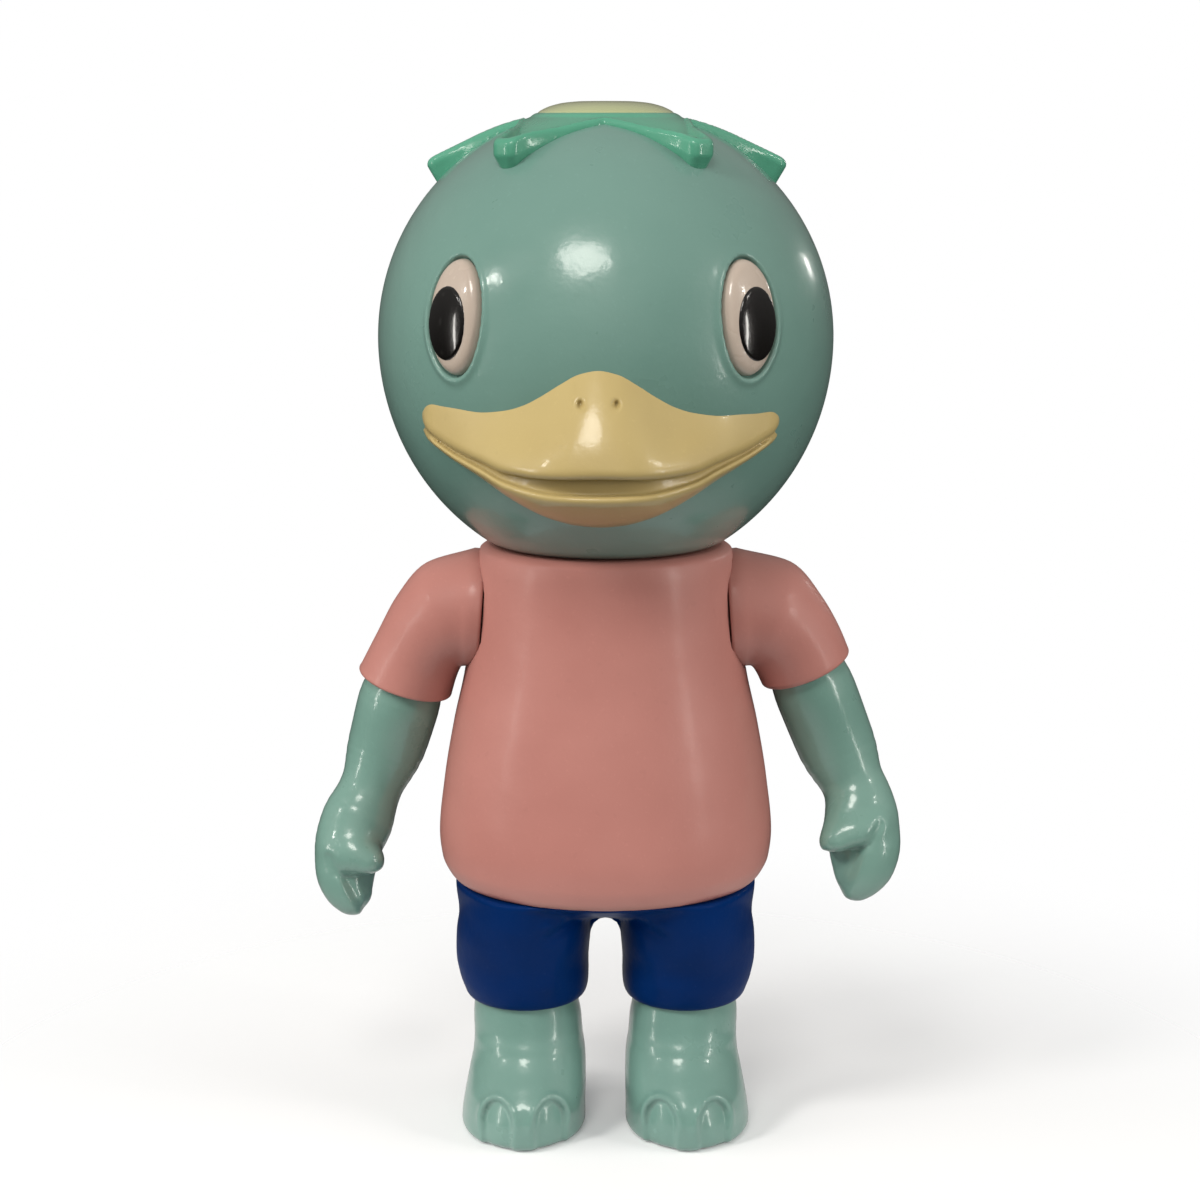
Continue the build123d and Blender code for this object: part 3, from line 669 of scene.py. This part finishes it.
# ---- forearms and hands ----
# Limbs are (x, y, z, radius) points, x outward from the axis. The palm is a step cut into the
# front of the hand, below the crease line and inside the finger line, both as (x, z) points.
# The cuff is the direction down the arm, then a point of the cuff's plane.
ARMS = {
    "left": {
        "arm": [(45.6, 1.3, 112.6, 9.0), (47.2, 1.9, 108.6, 9.0), (49.4, 2.6, 103.5, 9.5),
                (54.2, 4.0, 91.5, 9.2), (57.6, 2.2, 83.8, 7.6), (59.7, 0.4, 79.0, 7.25)],
        "hand": [(59.7, 0.4, 79.0, 7.25), (60.4, -1.8, 74.5, 8.4), (60.7, -4.0, 69.5, 8.4),
                 (60.5, -5.4, 65.6, 7.6), (59.6, -6.4, 62.9, 6.3), (58.8, -7.0, 61.0, 4.9)],
        "thumb": [(57.8, -3.2, 77.0, 5.2), (55.1, -6.8, 73.6, 4.4), (53.3, -8.8, 71.0, 3.5)],
        "ridge": [(62.2, -6.4, 74.2, 4.0), (58.0, -8.7, 73.1, 3.9), (54.2, -9.2, 71.4, 3.4)],
        "crease": [(51.5, 68.7), (60.8, 71.0), (63.6, 75.2)],
        "finger": [(60.8, 71.0), (56.6, 58.0)],
        "cuff": (0.387, 0.1045, -0.916, 46.7, 1.5, 110.3),
    },
    "right": {
        "arm": [(46.0, 1.6, 109.2, 9.0), (47.1, 2.1, 105.6, 9.0), (48.6, 2.8, 101.0, 9.6),
                (51.4, 4.0, 91.5, 9.2), (54.4, 2.2, 83.5, 7.5), (56.3, 0.6, 78.7, 7.0)],
        "hand": [(56.3, 0.6, 78.7, 7.0), (58.4, -1.6, 73.8, 8.4), (60.5, -3.8, 68.0, 7.7),
                 (60.9, -5.4, 63.0, 7.0), (60.2, -6.6, 59.6, 6.0), (59.2, -7.2, 57.9, 5.2)],
        "thumb": [(60.0, -6.0, 69.5, 4.2), (57.4, -8.2, 68.0, 3.9), (55.2, -9.0, 66.4, 3.5)],
        "ridge": [(62.6, -6.2, 68.6, 4.0), (59.0, -8.6, 67.4, 3.8), (55.8, -9.0, 66.4, 3.4)],
        "crease": [(51.5, 63.3), (62.4, 63.7), (64.2, 67.5)],
        "finger": [(62.4, 63.7), (58.6, 55.5)],
        "cuff": (0.306, 0.1045, -0.946, 46.8, 1.87, 106.9),
    },
}
HAND_FLAT = 0.86
WRIST_FILLET, THUMB_FILLET, RIDGE_FILLET = 1.5, 3.0, 2.0
ARM_TOP_R = 1.0
CUFF_RECESS = 2.6                        # how far the forearm goes up into the cuff
PALM_DEPTH = 2.3
PALM_GROOVE = 0.7
HAND_BANDS = ((), (), ((50.0, 80.0, 0.48),))


def make_forearm(name, side):
    arm = ARMS[name]
    down_x, down_y, down_z, cuff_x, cuff_y, cuff_z = arm["cuff"]
    root, corner, curl = arm["crease"]

    def field(x, y, z):
        x = side * x
        hand = limb(x, y, z, arm["hand"], HAND_FLAT)
        form = blend_min(limb(x, y, z, arm["arm"]), hand, WRIST_FILLET)
        form = blend_min(form, limb(x, y, z, arm["thumb"]), THUMB_FILLET)
        form = blend_min(form, limb(x, y, z, arm["ridge"]), RIDGE_FILLET)
        front = ramp(-y, 4.5, 8.0)
        below_crease = ramp(beside(x, z, root, corner), -0.2, 1.3)
        palm = below_crease * ramp(beside(x, z, *arm["finger"]), -0.4, 1.6)
        groove = np.maximum(crease(x, z, root, corner, 0.9), crease(x, z, corner, curl, 1.0) * 0.8)
        step = PALM_DEPTH * palm * ramp(z, root[1] - 14, root[1] - 4)
        form = form + front * (step + PALM_GROOVE * groove)
        below = (x - cuff_x) * down_x + (y - cuff_y) * down_y + (z - cuff_z) * down_z
        return blend_max(form * 0.95, -below - CUFF_RECESS + SEAM_GAP, ARM_TOP_R)

    low, high = box_mm(f"{name}_forearm")
    box = (low - (1.5, AXIS_Y + 3.0, 1.0), high + (1.5, 2.0 - AXIS_Y, 1.0))
    return cast(f"{name}_forearm_casting", field, box, step=0.6, bands=HAND_BANDS)


# ---- shorts ----
# height, leg centre x, half width, half depth
SHORT_LEG_RINGS = [(30.7, 18.9, 13.2, 13.2), (32.6, 18.9, 14.4, 14.6), (36.4, 19.3, 15.3, 16.4),
                   (41.0, 19.7, 15.7, 18.0), (47.0, 19.4, 15.9, 21.0), (54.0, 18.8, 15.4, 24.0),
                   (60.2, 18.0, 15.8, 25.6)]
# height, half width, half depth
HIP_RINGS = [(50.0, 31.0, 1.5), (52.0, 32.4, 7.0), (54.5, 33.6, 14.5), (57.0, 34.4, 21.0),
             (59.3, 34.7, 26.6), (60.2, 34.6, 28.2)]
# soft folds at the inner thighs: start (x, z), end (x, z), width, height
FOLDS = [((6.5, 57.0), (13.0, 54.6), 1.6, 0.55), ((8.0, 51.0), (12.5, 38.0), 2.4, 0.5),
         ((7.5, 54.2), (12.5, 51.6), 1.5, -0.5)]
LEG_R, LEG_X = 12.2, 18.9                # radius and centre of a leg's round top
HEM_RECESS = 3.4
CROTCH_FILLET, HIP_FILLET = 1.0, 4.0
WAIST_R, HEM_R, HEM_RECESS_R = 1.0, 1.3, 0.4
SHORTS_BANDS = ((), (), ((30.0, 33.5, 0.45),))


def shorts_field(x, y, z):
    side_x = np.abs(x)
    leg_x, leg_half_w, leg_half_d = ring_values(z, SHORT_LEG_RINGS, 1, 2, 3)
    leg = oval(side_x - leg_x, y, leg_half_w, leg_half_d)
    other = oval(side_x + leg_x, y, leg_half_w, leg_half_d)
    hips = oval(x, y, *ring_values(z, HIP_RINGS, 1, 2))
    hips = np.maximum(hips, HIP_RINGS[0][0] - z)
    form = blend_min(blend_min(leg, other, CROTCH_FILLET), hips, HIP_FILLET)
    for start, end, width, height in FOLDS:
        form = form - height * crease(side_x, z, start, end, width) * ramp(-y, 4, 12)
    form = blend_max(form * 0.97, z - torso_low[2] + FACE_GAP, WAIST_R)
    form = blend_max(form, shorts_low[2] - z, HEM_R)
    recess = oval(side_x - LEG_X, y, LEG_R + SEAM_GAP, LEG_R + SEAM_GAP)
    recess = np.maximum(recess, z - shorts_low[2] - HEM_RECESS)
    return blend_max(form, -recess, HEM_RECESS_R)


def make_shorts():
    box = about_axis(36.5, 29.5, shorts_low[2], shorts_high[2])
    return cast("shorts_casting", shorts_field, box, step=0.75, bands=SHORTS_BANDS)


# ---- legs and feet ----
# height, centre x, centre y, half width, half length
LEG_RINGS = [(0.0, 19.4, -4.3, 14.0, 18.6), (2.2, 19.5, -4.6, 14.7, 19.8),
             (6.0, 19.3, -4.7, 14.5, 20.2), (10.0, 18.9, -4.4, 14.2, 19.6),
             (14.0, 18.5, -3.1, 13.8, 17.9), (18.0, 18.2, -1.4, 13.3, 15.7),
             (22.0, 18.4, -0.3, 12.9, 13.9), (26.0, 18.6, 0.0, 12.8, 13.0),
             (30.5, LEG_X, 0.0, LEG_R, LEG_R)]
# webs between the toes: centre x, half width, height of the arched top
WEBS = [(13.1, 4.3, 12.4), (24.9, 4.3, 12.2)]
WEB_DEPTH, WEB_RIM = 1.6, 0.5
WEB_ARCH_H = 5.5
WEB_RIM_OUT, WEB_RIM_W = 0.8, 0.6
TOES_X, TOES_Y, TOE_SPREAD = 19.2, -20, 0.12    # the webs spread from this point to the front
INSTEP_Z, INSTEP_W, INSTEP_RISE = 21.6, 1.3, 0.35
SOLE_R, LEG_TOP_R = 1.6, 0.6
FOOT_BOX_X, FOOT_HALF_W, FOOT_FRONT_Y, FOOT_BACK_Y = 19, 16, -26.5, 17
FOOT_BANDS = ((), ((-26.0, -19.0, 0.45),), ((0.0, 13.5, 0.5),))


def foot_field(x, y, z):
    """The foot on the +X side."""
    height = np.minimum(z, LEG_RINGS[-1][0])
    centre_x, centre_y, half_w, half_l = ring_values(height, LEG_RINGS, 1, 2, 3, 4)
    form = oval(x - centre_x, y - centre_y, half_w, half_l)
    front = ramp(-y, 8, 14)
    for web_x, web_half_w, top_z in WEBS:
        lean = web_x + (web_x - TOES_X) * TOE_SPREAD * (TOES_Y - y) / 5
        rise = z - top_z + WEB_ARCH_H
        # below the arch the web's sides run down almost straight
        arch = oval(x - lean, np.minimum(rise, 0) * 0.25 + np.maximum(rise, 0),
                    web_half_w, WEB_ARCH_H)
        dent = WEB_DEPTH * (1 - ramp(arch, -1.4, 0.25)) * (0.55 + 0.45 * ramp(z, 2, 10))
        rim = WEB_RIM * bell(arch, WEB_RIM_OUT, WEB_RIM_W) * ramp(z, 3, 9)
        form = form + front * (dent - rim)
    form = form - INSTEP_RISE * bell(z, INSTEP_Z, INSTEP_W) * ramp(-y, 2, 9)
    form = blend_max(form * 0.93, -z, SOLE_R)
    return blend_max(form, z - leg_high_z, LEG_TOP_R)


def make_leg(name, side):
    def field(x, y, z):
        return foot_field(side * x, y, z)

    middle_x = side * FOOT_BOX_X
    box = ((middle_x - FOOT_HALF_W, FOOT_FRONT_Y, 0),
           (middle_x + FOOT_HALF_W, FOOT_BACK_Y, leg_high_z))
    return cast(f"{name}_leg_casting", field, box, step=0.7, bands=FOOT_BANDS)


# ---- materials ----
# 8-bit sRGB colour, its shade in the uneven paint, and what differs from plain glossy vinyl
PAINTS = {
    "teal_vinyl": ((106, 140, 131), (99, 134, 125), {}),
    # the forearms' teal is the head's teal painted lighter, as painted sheen for the gloss streaks
    # they catch
    "arm_vinyl_painted_sheen": ((113, 148, 138), (106, 142, 132), {}),
    "mint_vinyl": ((84, 154, 128), (74, 142, 117), {}),
    "cream_vinyl": ((180, 161, 109), (172, 152, 101),
                    {"roughness": 0.34, "coat": 0.5, "coat_rough": 0.15}),
    "dish_vinyl": ((166, 172, 132), (158, 165, 124), {}),
    "pink_vinyl": ((178, 122, 114), (170, 114, 106),
                   {"roughness": 0.42, "coat": 0.22, "coat_rough": 0.21}),
    "blue_vinyl": ((0, 39, 95), (0, 31, 79),
                   {"roughness": 0.38, "coat": 0.03, "coat_rough": 0.2, "specular": 0.04}),
    "eye_white": ((181, 168, 156), (173, 159, 147), {"roughness": 0.25, "coat_rough": 0.08}),
    "pupil_black": ((14, 12, 11), (10, 9, 8),
                    {"roughness": 0.2, "coat": 0.9, "coat_rough": 0.07, "peel": 0.06}),
    "plug_plastic": ((190, 186, 176), (176, 171, 160),
                     {"roughness": 0.5, "coat": 0.0, "coat_rough": 0.3}),
}
VINYL_IOR = 1.48
SPECKLE = 0.05


def srgb(red, green, blue):
    """Linear colour of an 8-bit sRGB one."""
    values = [c / 255 for c in (red, green, blue)]
    linear = [c / 12.92 if c <= 0.04045 else ((c + 0.055) / 1.055) ** 2.4 for c in values]
    return linear + [1.0]


def toned(colour, gain, lift=0.0):
    """A paler or darker tone of a linear colour."""
    return [min(1.0, c * gain + lift) for c in colour[:3]] + [1.0]


def vinyl(name, colour, shade, roughness=0.3, coat=0.7, coat_rough=0.13, peel=0.2, specular=0.4):
    """Sprayed soft vinyl: uneven paint, orange peel, fine dust, rubbed edges, painted shade in
    creases and a clear coat.
    """
    material = bpy.data.materials.new(name)
    material.use_nodes = True
    nodes, links = material.node_tree.nodes, material.node_tree.links
    nodes.clear()
    output = nodes.new("ShaderNodeOutputMaterial")
    surface = nodes.new("ShaderNodeBsdfPrincipled")
    links.new(surface.outputs["BSDF"], output.inputs["Surface"])
    surface.inputs["IOR"].default_value = VINYL_IOR
    surface.inputs["Specular IOR Level"].default_value = specular
    surface.inputs["Coat Weight"].default_value = coat
    surface.inputs["Coat Roughness"].default_value = coat_rough
    spot = nodes.new("ShaderNodeTexCoord")
    geometry = nodes.new("ShaderNodeNewGeometry")

    def noise(scale, detail, rough=0.5):
        node = nodes.new("ShaderNodeTexNoise")
        node.inputs["Scale"].default_value = scale
        node.inputs["Detail"].default_value = detail
        node.inputs["Roughness"].default_value = rough
        links.new(spot.outputs["Object"], node.inputs["Vector"])
        return node.outputs["Fac"]

    def mix(first, second, share):
        """The first colour where share is 0, the second where it is 1."""
        node = nodes.new("ShaderNodeMix")
        node.data_type = "RGBA"
        for value, key in ((first, "A"), (second, "B")):
            socket = [s for s in node.inputs if s.name == key and s.type == "RGBA"][0]
            if isinstance(value, list):
                socket.default_value = value
            else:
                links.new(value, socket)
        links.new(share, node.inputs["Factor"])
        return [s for s in node.outputs if s.type == "RGBA"][0]

    def span(socket, low, high, to_low, to_high):
        node = nodes.new("ShaderNodeMapRange")
        node.inputs["From Min"].default_value = low
        node.inputs["From Max"].default_value = high
        node.inputs["To Min"].default_value = to_low
        node.inputs["To Max"].default_value = to_high
        links.new(socket, node.inputs["Value"])
        return node.outputs["Result"]

    def bump(height, strength, distance):
        node = nodes.new("ShaderNodeBump")
        node.inputs["Strength"].default_value = strength
        node.inputs["Distance"].default_value = distance
        links.new(height, node.inputs["Height"])
        return node

    # uneven paint: broad clouds between the two tones, then fine dust
    clouds = span(noise(26, 3), 0.35, 0.68, 0.0, 1.0)
    paint = mix(colour, shade, clouds)
    dust = span(noise(900, 2, 0.7), 0.62, 0.74, 0.0, SPECKLE * 2)
    paint = mix(paint, toned(colour, 1.35, 0.03), dust)
    specks = span(noise(420, 1), 0.70, 0.76, 0.0, SPECKLE)
    paint = mix(paint, toned(shade, 0.45), specks)
    # rubbed, slightly lighter convex edges, and painted shade that darkens the creases and hollows
    edge = span(geometry.outputs["Pointiness"], 0.53, 0.62, 0.0, 0.3)
    paint = mix(paint, toned(colour, 1.25, 0.02), edge)
    # painted shade: concave spots (low pointiness) are darkened towards a deep tone of the paint
    hollow = span(geometry.outputs["Pointiness"], 0.47, 0.38, 0.0, 0.35)
    paint = mix(paint, toned(shade, 0.55), hollow)
    links.new(paint, surface.inputs["Base Color"])
    # gloss varies with handling
    handled = span(noise(60, 4, 0.6), 0.3, 0.7, roughness * 0.85, roughness * 1.2)
    links.new(handled, surface.inputs["Roughness"])
    # orange peel and slow hand-sprayed waviness
    peel_bump = bump(noise(620, 2), peel, 0.0002)
    wave_bump = bump(noise(95, 1), peel * 0.9, 0.0012)
    links.new(peel_bump.outputs["Normal"], wave_bump.inputs["Normal"])
    links.new(wave_bump.outputs["Normal"], surface.inputs["Normal"])
    links.new(wave_bump.outputs["Normal"], surface.inputs["Coat Normal"])
    return material


def make_materials():
    return {name: vinyl(name, srgb(*colour), srgb(*shade), **finish)
            for name, (colour, shade, finish) in PAINTS.items()}


# ---- assembly ----
def place(piece, body, node, material):
    """Gives a piece its paint and puts it on a body instead of its CAD node."""
    piece.data.materials.append(material)
    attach(piece, body)
    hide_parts(node)


def build_toy(materials):
    teal, pink = materials["teal_vinyl"], materials["pink_vinyl"]
    # forearms get the lighter teal, a painted sheen on the same vinyl as the head and legs
    teal_painted_sheen = materials["arm_vinyl_painted_sheen"]
    place(make_head(), "head", "head_shell", teal)
    place(make_dish(), "head", "head_dish", materials["dish_vinyl"])
    place(make_crown(), "head", "leaf_crown", materials["mint_vinyl"])
    place(make_beak(), "head", "beak", materials["cream_vinyl"])
    place(make_torso(), "torso", "torso_shell", pink)
    place(make_shorts(), "hips", "shorts", materials["blue_vinyl"])
    for name, side in SIDES.items():
        white, pupil = make_eye(name, side)
        place(white, "head", f"{name}_eye", materials["eye_white"])
        place(pupil, "head", f"{name}_pupil", materials["pupil_black"])
        place(make_sleeve(name, side), f"{name}_upper_arm", f"{name}_sleeve", pink)
        forearm = make_forearm(name, side)
        place(forearm, f"{name}_lower_arm", f"{name}_forearm", teal_painted_sheen)
        place(make_leg(name, side), f"{name}_lower_leg", f"{name}_leg", teal)
    for name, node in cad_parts.items():
        if name.endswith("_plug"):
            node.data.materials.clear()
            node.data.materials.append(materials["plug_plastic"])


# ---- camera, floor and light, in metres ----
CAMERA_DISTANCE = 0.564
CAMERA_X, CAMERA_HEIGHT = -0.0013, 0.236
CAMERA_TILT = math.radians(11)
LENS, SENSOR_W = 74.4, 36
FLOOR_R, FLOOR_SOLID_R = 0.25, 0.03
FLOOR_POINTS = 96
FLOOR_COLOUR = (0.94, 0.955, 0.98, 1)
FLOOR_ALPHA = 0.85
AIM = np.array((0.0, 0.0, 0.15))         # the lamps point here
LAMP_COLOUR = (1.0, 0.965, 0.91)
# name, azimuth (0 is in front, positive to the toy's left), elevation, distance, width, height,
# power, and whether it shows up as a reflection
LAMPS = [
    ("key", -13, 44, 1.2, 0.42, 0.34, 4.6, True),
    ("left_spot", -68, 2, 1.0, 0.05, 0.4, 0.8, True),
    ("right_spot", 60, 2, 1.0, 0.06, 0.45, 1.2, True),
    ("left_lamp", -62, 28, 1.1, 0.07, 0.07, 0.6, True),
    ("right_lamp", 64, 28, 1.1, 0.07, 0.07, 0.6, True),
    ("back_lamp", 134, 13, 1.0, 0.06, 0.08, 0.2, True),
    ("main", -52, 36, 1.7, 0.4, 0.4, 13.0, False),
    ("front_fill", 4, 15, 1.8, 1.0, 1.0, 6.5, False),
    ("left_fill", -78, 16, 1.6, 1.0, 1.0, 9.0, False),
    ("right_fill", 74, 14, 1.6, 1.0, 1.0, 11.0, False),
]
# the room is dim below and brighter towards the ceiling: direction's rise, strength
ROOM_LOW_AT, ROOM_HIGH_AT = -0.35, 0.9
ROOM_LOW, ROOM_HIGH = 0.02, 0.36
ROOM_COLOUR = (1.0, 0.97, 0.93, 1)


def make_camera():
    data = bpy.data.cameras.new("camera")
    data.lens = LENS
    data.sensor_width = SENSOR_W
    camera = bpy.data.objects.new("camera", data)
    camera.location = (CAMERA_X, AXIS_Y * MM - CAMERA_DISTANCE, CAMERA_HEIGHT)
    camera.rotation_euler = (math.pi / 2 - CAMERA_TILT, 0, 0)
    bpy.context.scene.collection.objects.link(camera)
    bpy.context.scene.camera = camera


def make_floor():
    """A pale disc under the toy that melts into the white surroundings."""
    turns = [2 * math.pi * i / FLOOR_POINTS for i in range(FLOOR_POINTS)]
    rim = [(FLOOR_R * math.cos(t), FLOOR_R * math.sin(t), 0) for t in turns]
    mesh = bpy.data.meshes.new("floor")
    mesh.from_pydata(rim, [], [list(range(FLOOR_POINTS))])
    floor = bpy.data.objects.new("floor", mesh)
    bpy.context.scene.collection.objects.link(floor)
    material = bpy.data.materials.new("floor_paint")
    material.use_nodes = True
    nodes, links = material.node_tree.nodes, material.node_tree.links
    surface = nodes["Principled BSDF"]
    surface.inputs["Base Color"].default_value = FLOOR_COLOUR
    surface.inputs["Roughness"].default_value = 0.8
    surface.inputs["Specular IOR Level"].default_value = 0.1
    spot = nodes.new("ShaderNodeTexCoord")
    radius = nodes.new("ShaderNodeVectorMath")
    radius.operation = "LENGTH"
    links.new(spot.outputs["Object"], radius.inputs[0])
    fade = nodes.new("ShaderNodeMapRange")
    fade.interpolation_type = "SMOOTHSTEP"
    fade.inputs["From Min"].default_value = FLOOR_SOLID_R
    fade.inputs["From Max"].default_value = FLOOR_R * 0.97
    fade.inputs["To Min"].default_value = FLOOR_ALPHA
    fade.inputs["To Max"].default_value = 0.0
    links.new(radius.outputs["Value"], fade.inputs["Value"])
    links.new(fade.outputs["Result"], surface.inputs["Alpha"])
    mesh.materials.append(material)


def softbox(name, azimuth, elevation, distance, width, height, power, shown):
    """A soft oval lamp aimed at the toy. One that isn't shown lights it without a reflection."""
    turn, rise = math.radians(azimuth), math.radians(elevation)
    level = math.cos(rise)
    back = np.array((math.sin(turn) * level, -math.cos(turn) * level, math.sin(rise)))
    data = bpy.data.lights.new(name, "AREA")
    data.shape = "ELLIPSE"
    data.size, data.size_y = width, height
    data.energy = power
    data.color = LAMP_COLOUR
    lamp = bpy.data.objects.new(name, data)
    lamp.location = AIM + back * distance
    lamp.visible_glossy = shown
    lamp.rotation_mode = "QUATERNION"
    lamp.rotation_quaternion = Vector(back).to_track_quat("Z", "Y")
    bpy.context.scene.collection.objects.link(lamp)


def make_light():
    """A dim room, a white backdrop that only the camera sees, and the lamps."""
    world = bpy.data.worlds.new("studio")
    bpy.context.scene.world = world
    world.use_nodes = True
    nodes, links = world.node_tree.nodes, world.node_tree.links
    nodes.clear()
    output = nodes.new("ShaderNodeOutputWorld")
    way = nodes.new("ShaderNodeTexCoord")
    parts = nodes.new("ShaderNodeSeparateXYZ")
    links.new(way.outputs["Generated"], parts.inputs["Vector"])
    rise = nodes.new("ShaderNodeMapRange")
    rise.interpolation_type = "SMOOTHSTEP"
    rise.inputs["From Min"].default_value = ROOM_LOW_AT
    rise.inputs["From Max"].default_value = ROOM_HIGH_AT
    rise.inputs["To Min"].default_value = ROOM_LOW
    rise.inputs["To Max"].default_value = ROOM_HIGH
    links.new(parts.outputs["Z"], rise.inputs["Value"])
    room = nodes.new("ShaderNodeBackground")
    room.inputs["Color"].default_value = ROOM_COLOUR
    links.new(rise.outputs["Result"], room.inputs["Strength"])
    backdrop = nodes.new("ShaderNodeBackground")
    backdrop.inputs["Color"].default_value = (1, 1, 1, 1)
    backdrop.inputs["Strength"].default_value = 1.0
    seen = nodes.new("ShaderNodeLightPath")
    choose = nodes.new("ShaderNodeMixShader")
    links.new(seen.outputs["Is Camera Ray"], choose.inputs["Fac"])
    links.new(room.outputs[0], choose.inputs[1])
    links.new(backdrop.outputs[0], choose.inputs[2])
    links.new(choose.outputs[0], output.inputs["Surface"])
    for lamp in LAMPS:
        softbox(*lamp)


make_camera()
make_floor()
make_light()
build_toy(make_materials())
bpy.context.scene.view_settings.view_transform = "Standard"
